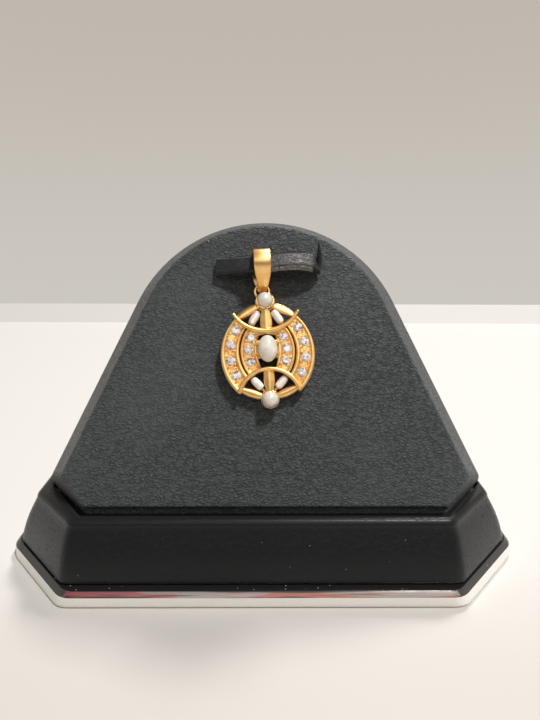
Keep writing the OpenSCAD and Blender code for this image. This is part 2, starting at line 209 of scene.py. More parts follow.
def ray_to_circle(start: Vector, angle: float, centre: Vector, radius: float) -> float:
    """Measures from a point inside a circle to the circle.

    Args:
        start: The point.
        angle: Direction of the ray in radians.
        centre: The circle's centre.
        radius: The circle's radius.

    Returns:
        The distance along the ray.
    """
    ray = heading(angle)
    off = start - centre
    along = off.dot(ray)
    return -along + math.sqrt(max(0.0, along * along - off.length_squared + radius * radius))


def deselect() -> None:
    """Leaves edit mode and deselects every object."""
    if bpy.context.mode != "OBJECT":
        bpy.ops.object.mode_set(mode="OBJECT")
    bpy.ops.object.select_all(action="DESELECT")


def pick(objects: Sequence[Form]) -> None:
    """Selects these objects alone, the first of them active.

    Args:
        objects: The objects.
    """
    deselect()
    for obj in objects:
        obj.select_set(True)
    bpy.context.view_layer.objects.active = objects[0]


def on_side(side: Side, place: Vector, z: float) -> Vector:
    """Sets a flat place of the pendant's right half at a height, on either half."""
    return Vector((side.value * place.x, place.y, z))


def corner_key(point: Vector) -> tuple[float, ...]:
    """Rounds a point to four decimals, so that a corner can be found again by its place."""
    return tuple(round(c, 4) for c in point)


def edit(obj: Form, action: str = "SELECT") -> None:
    """Opens a form's mesh in edit mode, with all or nothing of it selected.

    Args:
        obj: The form.
        action: "SELECT" or "DESELECT".
    """
    pick([obj])
    bpy.ops.object.mode_set(mode="EDIT")
    bpy.ops.mesh.select_all(action=action)


def loft(rings: Sequence[Ring]) -> Form:
    """Extrudes a filled ring through further rings of as many corners.

    Args:
        rings: The rings in order.

    Returns:
        The closed form.
    """
    deselect()
    bpy.ops.mesh.primitive_circle_add(vertices=len(rings[0]), fill_type="NGON")
    obj = bpy.context.object
    bpy.ops.object.mode_set(mode="EDIT")
    shape = bmesh.from_edit_mesh(obj.data)
    for corner, point in zip(shape.verts, rings[0]):
        corner.co = point
    bmesh.update_edit_mesh(obj.data)
    bpy.ops.mesh.select_all(action="SELECT")
    last = rings[0]
    for ring in rings[1:]:
        bpy.ops.mesh.extrude_region_move()
        shape = bmesh.from_edit_mesh(obj.data)
        places = {corner_key(old): new for old, new in zip(last, ring)}
        for corner in (v for v in shape.verts if v.select):
            corner.co = places[corner_key(corner.co)]
        bmesh.update_edit_mesh(obj.data)
        last = ring
    bpy.ops.object.mode_set(mode="OBJECT")
    return obj


def bead(radii: Triple, fineness: int) -> Form:
    """Adds a small ball or egg at the origin.

    Args:
        radii: Its three radii.
        fineness: Subdivisions of the ball.

    Returns:
        The bead.
    """
    deselect()
    bpy.ops.mesh.primitive_ico_sphere_add(subdivisions=fineness, radius=1)
    obj = bpy.context.object
    obj.data.transform(Matrix.Diagonal((*radii, 1)))
    return obj


def copy_to(pattern: Form, place: Matrix) -> Form:
    """Copies a piece, mesh and all, and moves the copy's mesh.

    Args:
        pattern: The piece to copy.
        place: Where the copy goes.

    Returns:
        The copy.
    """
    twin = pattern.copy()
    twin.data = pattern.data.copy()
    bpy.context.scene.collection.objects.link(twin)
    twin.data.transform(place)
    return twin


def join(objects: Sequence[Form]) -> Form:
    """Joins several forms into one object.

    Args:
        objects: The forms.

    Returns:
        The joined object.
    """
    pick(objects)
    if len(objects) > 1:
        bpy.ops.object.join()
    return bpy.context.object


def tidy(obj: Form) -> None:
    """Merges doubled corners and turns every face outwards.

    Args:
        obj: The form.
    """
    edit(obj)
    bpy.ops.mesh.remove_doubles(threshold=MERGE)
    bpy.ops.mesh.normals_make_consistent(inside=False)
    bpy.ops.object.mode_set(mode="OBJECT")


def settle(
    obj: Form,
    name: str,
    place: Matrix,
    finishes: Sequence[Material],
    stands_for: Sequence[str],
    crease: float = 35.0,
) -> Form:
    """Sets a finished form in its place, dresses it and lets it ride on the object's body.

    Args:
        obj: The form, in millimetres of its own frame.
        name: The piece's name.
        place: From its frame to the object's, in metres.
        finishes: Its materials.
        stands_for: The CAD nodes that it replaces.
        crease: Edges sharper than this many degrees stay sharp.

    Returns:
        The piece.
    """
    tidy(obj)
    obj.name = name
    obj.data.name = name
    obj.data.transform(place)
    pick([obj])
    bpy.ops.object.shade_smooth_by_angle(angle=math.radians(crease))
    for finish in finishes:
        obj.data.materials.append(finish)
    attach(obj, "root")
    if stands_for:
        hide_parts(*stands_for)
    log.info("%s: %d faces", name, len(obj.data.polygons))
    return obj


def settle_gold(
    forms: Sequence[Form], name: str, finishes: Sequence[Material], crease: float
) -> Form:
    """Joins forms of the pendant's gold frame and settles them as one piece."""
    return settle(join(forms), name, ON_PENDANT, finishes, ["pendant_frame"], crease)


class Layout:
    """Lays out the nodes of a material, a node group or the world."""

    def __init__(self, tree: Group) -> None:
        """Takes the node tree to fill."""
        self.tree = tree

    def fill(self, node: bpy.types.Node, values: Sockets) -> None:
        """Fills a node's sockets with values or links.

        Args:
            node: The node.
            values: Socket name or number to a value or another node's output.
        """
        for key, value in values.items():
            if isinstance(value, Socket):
                self.tree.links.new(value, node.inputs[key])
            else:
                node.inputs[key].default_value = value

    def add(self, kind: str, values: Sockets, **settings: object) -> Outputs:
        """Adds a node.

        Args:
            kind: The node's type.
            values: Values or links of its sockets.
            settings: Settings of the node itself.

        Returns:
            Its outputs.
        """
        node = self.tree.nodes.new(kind)
        for name, value in settings.items():
            setattr(node, name, value)
        self.fill(node, values)
        return node.outputs

    def effect(self, group: Group, **values: float) -> Outputs:
        """Places a shared effect with values of its own, and gives its outputs."""
        return self.add("ShaderNodeGroup", values, node_tree=group)

    def place(self) -> Socket:
        """Gives the place on the object, in metres."""
        return self.add("ShaderNodeTexCoord", {})["Object"]

    def drawn(self, place: Socket, scale: Triple, turn: Triple = (0.0, 0.0, 0.0)) -> Socket:
        """Stretches a pattern's coordinates along X, Y and Z and turns them, in radians."""
        return self.add("ShaderNodeMapping", {"Vector": place, "Scale": scale, "Rotation": turn})[0]

    def noise(self, place: Socket, scale: Value, detail: float, output: str = "Fac") -> Socket:
        """Adds a noise with so many waves per metre and finer layers, as Fac or Color."""
        return self.add("ShaderNodeTexNoise", {"Vector": place, "Scale": scale, "Detail": detail})[output]

    def cells(self, place: Socket, scale: Value, feature: str = "F1") -> Outputs:
        """Adds a pattern of so many cells per metre, and gives its outputs."""
        return self.add("ShaderNodeTexVoronoi", {"Vector": place, "Scale": scale}, feature=feature)

    def bump(self, height: Socket, depth: float) -> Socket:
        """Turns a height into a normal, its depth given in millimetres."""
        return self.add("ShaderNodeBump", {"Height": height, "Strength": 1.0, "Distance": depth * MM})[0]

    def channel(self, colour: Socket, number: int) -> Socket:
        """Gives one channel of a colour: 0 for red, 1 for green, 2 for blue."""
        return self.add("ShaderNodeSeparateColor", {0: colour})[number]

    def maths(self, operation: str, a: Value, b: Value = 0.0) -> Socket:
        """Works out an operation of one or two values or outputs."""
        return self.add("ShaderNodeMath", {0: a, 1: b}, operation=operation)[0]

    def span(
        self, value: Value, low: Value, high: Value, to_low: float = 0.0, to_high: float = 1.0
    ) -> Socket:
        """Maps the range from low to high smoothly to the one from to_low to to_high."""
        sockets = {"Value": value, "From Min": low, "From Max": high, "To Min": to_low, "To Max": to_high}
        return self.add("ShaderNodeMapRange", sockets, interpolation_type="SMOOTHSTEP")["Result"]

    def blend(self, share: Value, first: Colour | Socket, second: Colour | Socket) -> Socket:
        """Mixes two colours or outputs by the share of the second one."""
        a, b = (c if isinstance(c, Socket) else (*c, 1.0) for c in (first, second))
        return self.add("ShaderNodeMix", {0: share, 6: a, 7: b}, data_type="RGBA")[2]


def new_group(name: str, inputs: dict[str, float], outputs: Sequence[str]) -> tuple[Group, Layout]:
    """Starts a shared effect as a shader node group.

    Args:
        name: The group's name.
        inputs: Its number inputs and their usual values.
        outputs: Its number outputs.

    Returns:
        The group and its layout.
    """
    tree = bpy.data.node_groups.new(name, "ShaderNodeTree")
    for label, value in inputs.items():
        socket = tree.interface.new_socket(label, in_out="INPUT", socket_type="NodeSocketFloat")
        socket.default_value = value
    for label in outputs:
        tree.interface.new_socket(label, in_out="OUTPUT", socket_type="NodeSocketFloat")
    return tree, Layout(tree)


# How far the grain wanders in metres, and how it is drawn out by the stretching of the leatherette
GRAIN_DRIFT = 0.0008
GRAIN_STRETCH = (0.68, 1.15, 1.25)
GRAIN_TURN = (0.0, -0.3, 0.0)


def pebble_grain() -> Group:
    """Builds the leatherette's grain: soft pebbles between creases, with fine pores.

    Returns:
        The group.
    """
    inputs = {"Cells": 1400.0, "Crease": 0.3, "Pores": 0.25}
    tree, lay = new_group("pebble_grain", inputs, ("Height", "Crease", "Tone"))
    given = lay.add("NodeGroupInput", {})
    place = lay.place()
    drift = lay.noise(place, 900.0, 3.0, "Color")
    centred = lay.add("ShaderNodeVectorMath", {0: drift, 1: (0.5, 0.5, 0.5)}, operation="SUBTRACT")[0]
    moved = {0: centred, 1: (GRAIN_DRIFT,) * 3, 2: place}
    bent = lay.add("ShaderNodeVectorMath", moved, operation="MULTIPLY_ADD")[0]
    drawn = lay.drawn(bent, GRAIN_STRETCH, GRAIN_TURN)
    edge = lay.cells(drawn, given["Cells"], "DISTANCE_TO_EDGE")["Distance"]
    valley = lay.maths("SUBTRACT", 1.0, lay.span(edge, 0.0, given["Crease"]))
    uneven = lay.noise(drawn, 1500.0, 2.0)
    crease = lay.maths("MULTIPLY", valley, lay.span(uneven, 0.3, 0.65, 0.25, 1.0))
    pores = lay.maths("MULTIPLY", lay.noise(drawn, 3400.0, 3.0), given["Pores"])
    raised = lay.maths("ADD", lay.maths("SUBTRACT", 1.0, crease), lay.maths("MULTIPLY", uneven, 0.8))
    height = lay.maths("ADD", raised, pores)
    lay.add("NodeGroupOutput", {"Height": height, "Crease": crease, "Tone": lay.noise(place, 45.0, 3.0)})
    return tree


def dust_specks() -> Group:
    """Builds sparse bright specks of dust.

    Returns:
        The group.
    """
    tree, lay = new_group("dust_specks", {"Spread": 1500.0, "Size": 0.14, "Sparse": 0.97}, ("Mask",))
    given = lay.add("NodeGroupInput", {})
    cells = lay.cells(lay.place(), given["Spread"])
    near = lay.maths("LESS_THAN", cells["Distance"], given["Size"])
    kept = lay.maths("GREATER_THAN", lay.channel(cells["Color"], 0), given["Sparse"])
    lay.add("NodeGroupOutput", {"Mask": lay.maths("MULTIPLY", near, kept)})
    return tree


def worked_metal() -> Group:
    """Builds the marks of casting and hand polish on metal.

    Returns:
        The group.
    """
    tree, lay = new_group("worked_metal", {"Fine": 9000.0, "Broad": 700.0}, ("Height", "Tone", "Scratch"))
    given = lay.add("NodeGroupInput", {})
    place = lay.place()
    fine = lay.noise(place, given["Fine"], 3.0)
    broad = lay.noise(place, given["Broad"], 3.0)
    lines = lay.noise(lay.drawn(place, (1.0, 12.0, 12.0), (0.3, 0.2, 0.7)), 1500.0, 2.0)
    height = lay.maths("ADD", lay.maths("MULTIPLY", fine, 0.5), broad)
    lay.add("NodeGroupOutput", {"Height": height, "Tone": broad, "Scratch": lay.span(lines, 0.5, 0.75)})
    return tree


class Effects:
    """The shared node groups, each built once."""

    def __init__(self) -> None:
        """Builds the groups."""
        self.grain = pebble_grain()
        self.dust = dust_specks()
        self.metal = worked_metal()


def new_finish(name: str) -> tuple[Material, Layout, bpy.types.Node]:
    """Starts a material.

    Args:
        name: The material's name.

    Returns:
        The material, its layout and its Principled BSDF.
    """
    finish = bpy.data.materials.new(name)
    finish.use_nodes = True
    return finish, Layout(finish.node_tree), finish.node_tree.nodes["Principled BSDF"]


@dataclass(frozen=True)
class Leatherette:
    """Black leatherette, the creases of its grain darkened with painted shade.

    Attributes:
        name: Name of the material.
        colour: Colour of the raised grain.
        painted_crease_shade: Painted shade in the creases of the grain.
        cells: Grain cells per metre.
        crease: Width of the creases in cells.
        depth: Depth of the grain in millimetres.
        rough: Roughness of the raised grain.
        gloss: Specular level.
        dust: Share of specks that are left out.
        crease_shade_share: How much of the painted shade in the creases shows.
        tone: How much lighter its lightest places are.
        dust_colour: Colour of the specks.
        dust_share: How much of that colour shows.
    """

    name: str
    colour: Colour
    painted_crease_shade: Colour
    cells: float
    crease: float
    depth: float
    rough: float
    gloss: float
    dust: float = 0.985
    crease_shade_share: float = 0.6
    tone: float = 1.25
    dust_colour: Colour = (0.5, 0.5, 0.5)
    dust_share: float = 0.3

    def material(self, effects: Effects) -> Material:
        """Builds the material.

        Args:
            effects: The shared groups.

        Returns:
            The material.
        """
        finish, lay, shader = new_finish(self.name)
        grain = lay.effect(effects.grain, Cells=self.cells, Crease=self.crease)
        specks = lay.effect(effects.dust, Sparse=self.dust)["Mask"]
        # Painted shade: the creases take a darker colour, as if less light fell into them.
        crease_shade = lay.maths("MULTIPLY", grain["Crease"], self.crease_shade_share)
        base = lay.blend(crease_shade, self.colour, self.painted_crease_shade)
        lighter = tuple(c * self.tone for c in self.colour)
        varied = lay.blend(lay.span(grain["Tone"], 0.4, 0.7, 0.0, 0.4), base, lighter)
        lay.fill(shader, {
            "Base Color": lay.blend(lay.maths("MULTIPLY", specks, self.dust_share), varied, self.dust_colour),
            "Roughness": lay.span(grain["Crease"], 0.0, 1.0, self.rough, min(1.0, self.rough + 0.25)),
            "Normal": lay.bump(grain["Height"], self.depth),
            "Specular IOR Level": self.gloss,
            "Sheen Weight": 0.1,
            "Sheen Roughness": 0.5,
        })
        return finish


@dataclass(frozen=True)
class WorkedGold:
    """Yellow gold, satin or polished.

    Attributes:
        name: Name of the material.
        colour: Its usual colour.
        deep: Its colour in worn or sheltered places.
        rough: Its roughness.
        depth: Depth of its marks in millimetres.
        fine: Fine marks per metre.
    """

    name: str
    colour: Colour
    deep: Colour
    rough: float
    depth: float
    fine: float = 9000.0

    def material(self, effects: Effects) -> Material:
        """Builds the material.

        Args:
            effects: The shared groups.

        Returns:
            The material.
        """
        finish, lay, shader = new_finish(self.name)
        marks = lay.effect(effects.metal, Fine=self.fine)
        lay.fill(shader, {
            "Base Color": lay.blend(lay.span(marks["Tone"], 0.35, 0.7), self.colour, self.deep),
            "Roughness": lay.maths("ADD", self.rough, lay.maths("MULTIPLY", marks["Scratch"], 0.12)),
            "Normal": lay.bump(marks["Height"], self.depth),
            "Metallic": 1.0,
        })
        return finish


@dataclass(frozen=True)
class PearlSkin:
    """Nacre of a pearl.

    Attributes:
        name: Name of the material.
        colour: Its usual colour.
        blush: Its colour in clouded places.
        rough: Its roughness under the lustre.
        lustre_rough: Roughness of the lustre.
        lustre_bend: Refraction of the lustre.
    """

    name: str = "nacre"
    colour: Colour = (0.67, 0.655, 0.575)
    blush: Colour = (0.88, 0.78, 0.69)
    rough: float = 0.26
    lustre_rough: float = 0.25
    lustre_bend: float = 1.9

    def material(self) -> Material:
        """Builds the material.

        Returns:
            The material.
        """
        finish, lay, shader = new_finish(self.name)
        place = lay.place()
        cloud = lay.noise(place, 700.0, 3.0)
        lay.fill(shader, {
            "Base Color": lay.blend(lay.span(cloud, 0.4, 0.7), self.colour, self.blush),
            "Roughness": lay.span(cloud, 0.3, 0.7, self.rough, self.rough + 0.1),
            "Normal": lay.bump(lay.noise(place, 1300.0, 2.0), 0.05),
            "Coat Weight": 1.0,
            "Coat Roughness": self.lustre_rough,
            "Coat IOR": self.lustre_bend,
            "Sheen Weight": 0.2,
        })
        return finish


@dataclass(frozen=True)
class FrostedWhite:
    """Frosted white metal of the pale leaves, tinted pink as a painted reflection of rosy surroundings.

    Attributes:
        name: Name of the material.
        colour: Its usual colour.
        deep: A darker, pinker colour laid in random broad patches, as painted pink reflection.
        rough: Its roughness.
        frost: Points of frost per metre.
    """

    name: str = "frosted_white_metal"
    colour: Colour = (0.90, 0.86, 0.83)
    deep: Colour = (0.78, 0.66, 0.62)
    rough: float = 0.4
    frost: float = 6500.0

    def material(self, effects: Effects) -> Material:
        """Builds the material.

        Args:
            effects: The shared groups.

        Returns:
            The material.
        """
        finish, lay, shader = new_finish(self.name)
        marks = lay.effect(effects.metal)
        # Painted reflection: both colours carry a pink tint, and the pinker one falls in random broad
        # patches.
        lay.fill(shader, {
            "Base Color": lay.blend(lay.span(marks["Tone"], 0.35, 0.65), self.colour, self.deep),
            "Roughness": lay.maths("ADD", self.rough, lay.maths("MULTIPLY", marks["Scratch"], 0.15)),
            "Normal": lay.bump(lay.cells(lay.place(), self.frost)["Distance"], 0.05),
            "Metallic": 0.5,
        })
        return finish


@dataclass(frozen=True)
class ClearStone:
    """Colourless cut stone, its flashes of light and dark painted into its colour: white, lilac or dark from
    place to place.

    Attributes:
        name: Name of the material.
        white: Its usual painted flash.
        lilac: Its cooler painted flash.
        shade: Its darkest painted flash, a painted dark reflection.
        flashes: Flashes per metre.
        bend: Its refraction.
    """

    name: str = "clear_stone"
    white: Colour = (1.0, 0.98, 0.97)
    lilac: Colour = (0.72, 0.63, 0.63)
    shade: Colour = (0.30, 0.22, 0.19)
    flashes: float = 3000.0
    bend: float = 2.1

    def material(self, effects: Effects) -> Material:
        """Builds the material.

        Args:
            effects: The shared groups.

        Returns:
            The material.
        """
        finish, lay, shader = new_finish(self.name)
        # Painted flashes: random cells lay white, lilac and dark reflections over the stone's colour.
        chance = lay.cells(lay.place(), self.flashes)["Color"]
        painted_flash = lay.blend(lay.maths("GREATER_THAN", lay.channel(chance, 0), 0.62), self.white, self.lilac)
        dark = lay.maths("GREATER_THAN", lay.channel(chance, 1), 0.84)
        lay.fill(shader, {
            "Base Color": lay.blend(dark, painted_flash, self.shade),
            "Roughness": lay.span(lay.effect(effects.metal)["Scratch"], 0.0, 1.0, 0.0, 0.05),
            "Transmission Weight": 0.3,
            "IOR": self.bend,
        })
        return finish


@dataclass(frozen=True)
class PlateFace:
    """One kind of face of the polished plate, with its smears and dust.

    Attributes:
        name: Name of the material.
        colour: Its colour.
        rough: Its roughness.
        dust: Share of specks that are left out.
    """

    name: str
    colour: Colour
    rough: float
    dust: float = 0.86

    def material(self, effects: Effects) -> Material:
        """Builds the material.

        Args:
            effects: The shared groups.

        Returns:
            The material.
        """
        finish, lay, shader = new_finish(self.name)
        specks = lay.effect(effects.dust, Sparse=self.dust)["Mask"]
        smear = lay.noise(lay.place(), 90.0, 5.0)
        lay.fill(shader, {
            "Base Color": lay.blend(lay.maths("MULTIPLY", specks, 0.5), self.colour, (0.75, 0.75, 0.75)),
            "Roughness": lay.span(smear, 0.35, 0.7, self.rough, self.rough + 0.08),
        })
        return finish


@dataclass(frozen=True)
class BevelWithPaintedReflection:
    """The plate's front bevel, with streaks of painted pink and orange reflection in its colour.

    Attributes:
        name: Name of the material.
        pale: Paler painted reflection between the streaks.
        pink_painted_reflection: Colour of one kind of painted reflection streak.
        orange_painted_reflection: Colour of the other kind of painted reflection streak.
        dark: Colour of the hair lines.
        streaks: How much closer the streaks repeat along X, Y and Z.
        hairs: How much closer the hair lines do.
    """

    name: str = "streaked_bevel"
    pale: Colour = (0.30, 0.26, 0.25)
    pink_painted_reflection: Colour = (0.36, 0.115, 0.125)
    orange_painted_reflection: Colour = (0.30, 0.15, 0.075)
    dark: Colour = (0.05, 0.04, 0.04)
    streaks: Triple = (60.0, 900.0, 900.0)
    hairs: Triple = (45.0, 2600.0, 2600.0)

    def material(self) -> Material:
        """Builds the material.

        Returns:
            The material.
        """
        finish, lay, shader = new_finish(self.name)
        place = lay.place()
        drawn = lay.drawn(place, self.streaks)
        lines = lay.noise(drawn, 1.0, 3.0)
        # Painted reflection: pink and orange streaks laid into the bevel's colour.
        warmth = lay.channel(lay.noise(drawn, 0.6, 1.0, "Color"), 1)
        streak = lay.blend(lay.span(warmth, 0.4, 0.6), self.pink_painted_reflection, self.orange_painted_reflection)
        paler = lay.blend(lay.span(lines, 0.5, 0.6), streak, self.pale)
        hair = lay.noise(lay.drawn(place, self.hairs), 1.0, 2.0)
        lay.fill(shader, {
            "Base Color": lay.blend(lay.span(hair, 0.52, 0.62), paler, self.dark),
            "Roughness": lay.span(lines, 0.3, 0.7, 0.12, 0.3),
            "Metallic": 0.4,
        })
        return finish


class Wardrobe:
    """Every finish of the object, each made once."""

    def __init__(self) -> None:
        """Makes the finishes."""
        effects = Effects()
        self.grained = Leatherette(
            "grained_leatherette", (0.063, 0.070, 0.074), (0.008, 0.009, 0.010),
            cells=1650.0, crease=0.36, depth=0.17, rough=0.52, gloss=0.2,
        ).material(effects)
        self.stretched = Leatherette(
            "stretched_leatherette", (0.0055, 0.0065, 0.0075), (0.004, 0.0045, 0.005),
            cells=900.0, crease=0.1, depth=0.008, rough=0.36, gloss=0.24, dust=0.97,
        ).material(effects)
        self.strap = Leatherette(
            "strap_leatherette", (0.008, 0.009, 0.010), (0.004, 0.004, 0.004),
            cells=2600.0, crease=0.2, depth=0.03, rough=0.34, gloss=0.4,
        ).material(effects)
        # A lighter copy of the strap's leatherette, with more dust: painted light on the part of the strip
        # that turns up to the light.
        self.painted_lit_strap = Leatherette(
            "worn_strap_leatherette", (0.030, 0.032, 0.033), (0.005, 0.005, 0.005),
            cells=2400.0, crease=0.4, depth=0.08, rough=0.45, gloss=0.35, dust=0.8,
        ).material(effects)
        self.raw_edge = Leatherette(
            "raw_cut_edge", (0.26, 0.25, 0.225), (0.003, 0.003, 0.003),
            cells=1900.0, crease=1.1, depth=0.3, rough=0.45, gloss=0.5, dust=0.4,
        ).material(effects)
        self.satin_gold = WorkedGold(
            "satin_gold", (1.0, 0.69, 0.30), (0.98, 0.56, 0.19), rough=0.36, depth=0.006
        ).material(effects)
        self.polished_gold = WorkedGold(
            "polished_gold", (1.0, 0.71, 0.34), (0.98, 0.60, 0.22), rough=0.24, depth=0.003
        ).material(effects)
        self.granular_gold = WorkedGold(
            "granular_gold", (1.0, 0.68, 0.28), (0.95, 0.50, 0.15), rough=0.34, depth=0.05, fine=4200.0
        ).material(effects)
        self.nacre = PearlSkin().material()
        self.white_metal = FrostedWhite().material(effects)
        self.clear_stone = ClearStone().material(effects)
        self.plate_side = PlateFace("pale_plate_side", (0.86, 0.84, 0.79), 0.4).material(effects)
        self.plate_top = PlateFace("dark_mirror_top", (0.012, 0.012, 0.013), 0.08).material(effects)
        self.plate_edge = PlateFace("grey_mirror_edge", (0.045, 0.047, 0.045), 0.16).material(effects)
        # The front bevel's streaks are painted reflection.
        self.front_bevel = BevelWithPaintedReflection().material()


# Half the width and depth of the block's foot, and what a cut corner takes off its front and its side
BLOCK_HALF = (45.7, 21.5)
CUT_LENGTHS = (12.0, 12.2)

# The way that a cut corner faces, and how far its line lies from the middle
CORNER_CUT = Vector((CUT_LENGTHS[1], CUT_LENGTHS[0], 0)).normalized()
CORNER_DISTANCE = CORNER_CUT.x * (BLOCK_HALF[0] - CUT_LENGTHS[0]) + CORNER_CUT.y * BLOCK_HALF[1]


def plan(half_w: float, half_d: float, cut: float, radius: float, chords: int) -> Ring:
    """Draws the stand's outline seen from above, a box with cut corners.

    Args:
        half_w: Half of its width.
        half_d: Half of its depth.
        cut: Distance of the cut corners' lines from the middle.
        radius: Radius of the rounded corners.
        chords: Chords in each of them.

    Returns:
        The outline, anticlockwise.
    """
    front = (cut - CORNER_CUT.y * half_d) / CORNER_CUT.x
    side = (cut - CORNER_CUT.x * half_w) / CORNER_CUT.y
    corners = [
        (half_w, -side), (half_w, side), (front, half_d), (-front, half_d),
        (-half_w, side), (-half_w, -side), (-front, -half_d), (front, -half_d),
    ]
    return rounded([Vector((x, y, 0)) for x, y in corners], radius, chords)


def at_height(ring: Ring, z: float) -> Ring:
    """Lifts a flat ring to a height."""
    return [Vector((p.x, p.y, z)) for p in ring]


class PlatePart(Enum):
    """The plate's kinds of faces, in the order of its finishes."""

    SIDE = 0
    TOP = 1
    FRONT_BEVEL = 2
    EDGE = 3


@dataclass
class Plate:
    """The polished plate under the stand.

    Attributes:
        half_w: Half of its width.
        half_d: Half of its depth.
        thick: Its thickness.
        margin: How far its cut corners stand out past the block's, at the top.
        spread: How much further they stand out at the foot.
        corner_r: Radius of its corners.
        bevel: Width of its polished bevel.
        painted_reflection_half_w: Half width of the part of its front bevel that carries the painted
            reflection.
    """

    half_w: float = 47.1
    half_d: float = 23.4
    thick: float = 2.9
    margin: float = 0.8
    spread: float = 0.7
    corner_r: float = 4.0
    bevel: float = 0.7
    painted_reflection_half_w: float = 33.0

    def ring(self, inset: float, z: float) -> Ring:
        """Draws the plate's outline at a height, so far inside its widest outline."""
        cut = CORNER_DISTANCE + self.margin + self.spread * (1 - z / self.thick) - inset
        return at_height(plan(self.half_w - inset, self.half_d - inset, cut, self.corner_r, 12), z)

    def build(self, wardrobe: Wardrobe) -> None:
        """Builds the plate: foot edge, side, bevel and top.

        Args:
            wardrobe: The finishes.
        """
        low = self.thick - self.bevel
        rows = [
            (0.55, 0.0), (0.28, 0.07), (0.1, 0.24), (0.02, 0.5), (0.0, 0.8),
            (0.0, low - 0.05), (0.05, low + 0.03),
            (self.bevel - 0.03, self.thick - 0.05), (self.bevel + 0.05, self.thick),
        ]
        form = loft([self.ring(inset, z) for inset, z in rows])
        finishes = [wardrobe.plate_side, wardrobe.plate_top, wardrobe.front_bevel, wardrobe.plate_edge]
        piece = settle(form, "mirror_plate", ON_TABLE, finishes, ["base_plate"], 20.0)
        for face in piece.data.polygons:
            middle = face.center / MM
            part = PlatePart.SIDE
            if face.normal.z > 0.95:
                part = PlatePart.TOP
            elif face.normal.z > 0.3 and middle.z > low - 0.1:
                # The middle of the front bevel carries the painted reflection.
                shows_painted_reflection = face.normal.y < -0.6 and abs(middle.x) < self.painted_reflection_half_w
                part = PlatePart.FRONT_BEVEL if shows_painted_reflection else PlatePart.EDGE
            face.material_index = part.value


@dataclass
class Block:
    """The base block: leatherette drawn over walls that lean in, with a recess for the panel's foot.

    Attributes:
        low: Height of its lower edge.
        ledge: Height of its top.
        hem: Inset and height over the lower edge of the top of its hem.
        wall_inset: How far each wall has leaned in where its top edge starts to round.
        bulge: How far the leatherette bulges out of the walls.
        edge: Width and height of its soft top edge.
        side_spread: How much more the walls at its sides lean in.
        corner_r: Radius of its upright corners.
        recess: Depth of the recess.
        groove_front: Groove in front of the panel's foot.
        groove_side: Groove beside it.
        recess_r: Radius of the recess's corners.
        spacing: Number of points round its outline.
    """

    low: float = 3.0
    ledge: float = 13.2
    hem: tuple[float, float] = (0.16, 0.62)
    wall_inset: float = 3.2
    bulge: float = 0.3
    edge: tuple[float, float] = (1.1, 1.3)
    side_spread: float = 1.19
    corner_r: float = 1.6
    recess: float = 1.4
    groove_front: float = 1.3
    groove_side: float = 0.5
    recess_r: float = 0.45
    spacing: int = 260

    def ring(self, inset: float, z: float) -> Ring:
        """Draws the block's outline at a height.

        Args:
            inset: How far it lies inside the foot's outline.
            z: The height.

        Returns:
            The ring.
        """
        half_w = BLOCK_HALF[0] - self.side_spread * inset
        outline = plan(half_w, BLOCK_HALF[1] - inset, CORNER_DISTANCE - inset, self.corner_r, 8)
        return at_height(respaced(outline, self.spacing), z)

    def trimmed(self, ring: Ring, ragged: float) -> Ring:
        """Makes an edge of the leatherette wander, as it does where it was trimmed by hand."""
        return [
            p + Vector((0, 0, ragged * (noise.noise(p * 0.55) + 0.6 * noise.noise(p * 1.9))))
            + p.xy.to_3d().normalized() * 0.4 * ragged * noise.noise(p * 1.3 + Vector((7, 0, 0)))
            for p in ring
        ]

    def build(self, wardrobe: Wardrobe, panel: "Panel") -> None:
        """Builds the block and cuts its recess.

        Args:
            wardrobe: The finishes.
            panel: The panel that stands in the recess.
        """
        hem_inset, hem_top = self.hem
        edge_w, edge_h = self.edge
        rings = [
            self.trimmed(self.ring(inset, self.low + rise), ragged)
            for inset, rise, ragged in (
                (0.9, 0.0, 0.0), (0.42, 0.06, 0.08), (0.2, 0.3, 0.1), (hem_inset, hem_top, 0.05),
            )
        ]
        wall_h = self.ledge - self.low - hem_top - edge_h
        for k in range(1, 9):
            t = k / 8
            inset = hem_inset + (self.wall_inset - hem_inset) * t - self.bulge * math.sin(math.pi * t)
            rings.append(self.ring(inset, self.low + hem_top + t * wall_h))
        for k in range(1, 9):
            a = arc_angle(k, 8, 0, 90)
            inset = self.wall_inset + edge_w * (1 - math.cos(a))
            rings.append(self.ring(inset, self.ledge - edge_h + edge_h * math.sin(a)))
        form = loft(rings)
        tidy(form)
        recess = self.recess_form(panel)
        tidy(recess)
        pick([form])
        cut = form.modifiers.new("recess", "BOOLEAN")
        cut.operation, cut.object, cut.solver = "DIFFERENCE", recess, "EXACT"
        bpy.ops.object.modifier_apply(modifier=cut.name)
        bpy.data.objects.remove(recess)
        settle(form, "leatherette_block", ON_TABLE, [wardrobe.stretched], ["base_block"], 50.0)

    def recess_form(self, panel: "Panel") -> Form:
        """Builds the form that cuts the recess, wider at its mouth.

        Args:
            panel: The panel that stands in it.

        Returns:
            The form.
        """
        foot_side = panel.foot_side()
        back = PANEL_FOOT.y + panel.thick / math.cos(math.radians(LEAN))
        rows = [(-self.recess, 0.0), (-0.32, 0.0), (-0.14, 0.04), (-0.04, 0.14), (0.02, 0.3), (0.5, 1.1)]
        rings = []
        for depth, mouth in rows:
            front_y = PANEL_FOOT.y - self.groove_front - mouth
            side_x = foot_side + self.groove_side + mouth
            reach = self.groove_side + mouth
            corners = [
                (side_x, back + reach), (-side_x, back + reach), (-side_x, back - reach),
                (-panel.half_w - mouth, front_y), (panel.half_w + mouth, front_y), (side_x, back - reach),
            ]
            outline = [Vector((x + PANEL_FOOT.x, y, 0)) for x, y in corners]
            rings.append(at_height(rounded(outline, self.recess_r, 4), self.ledge + depth))
        return loft(rings)


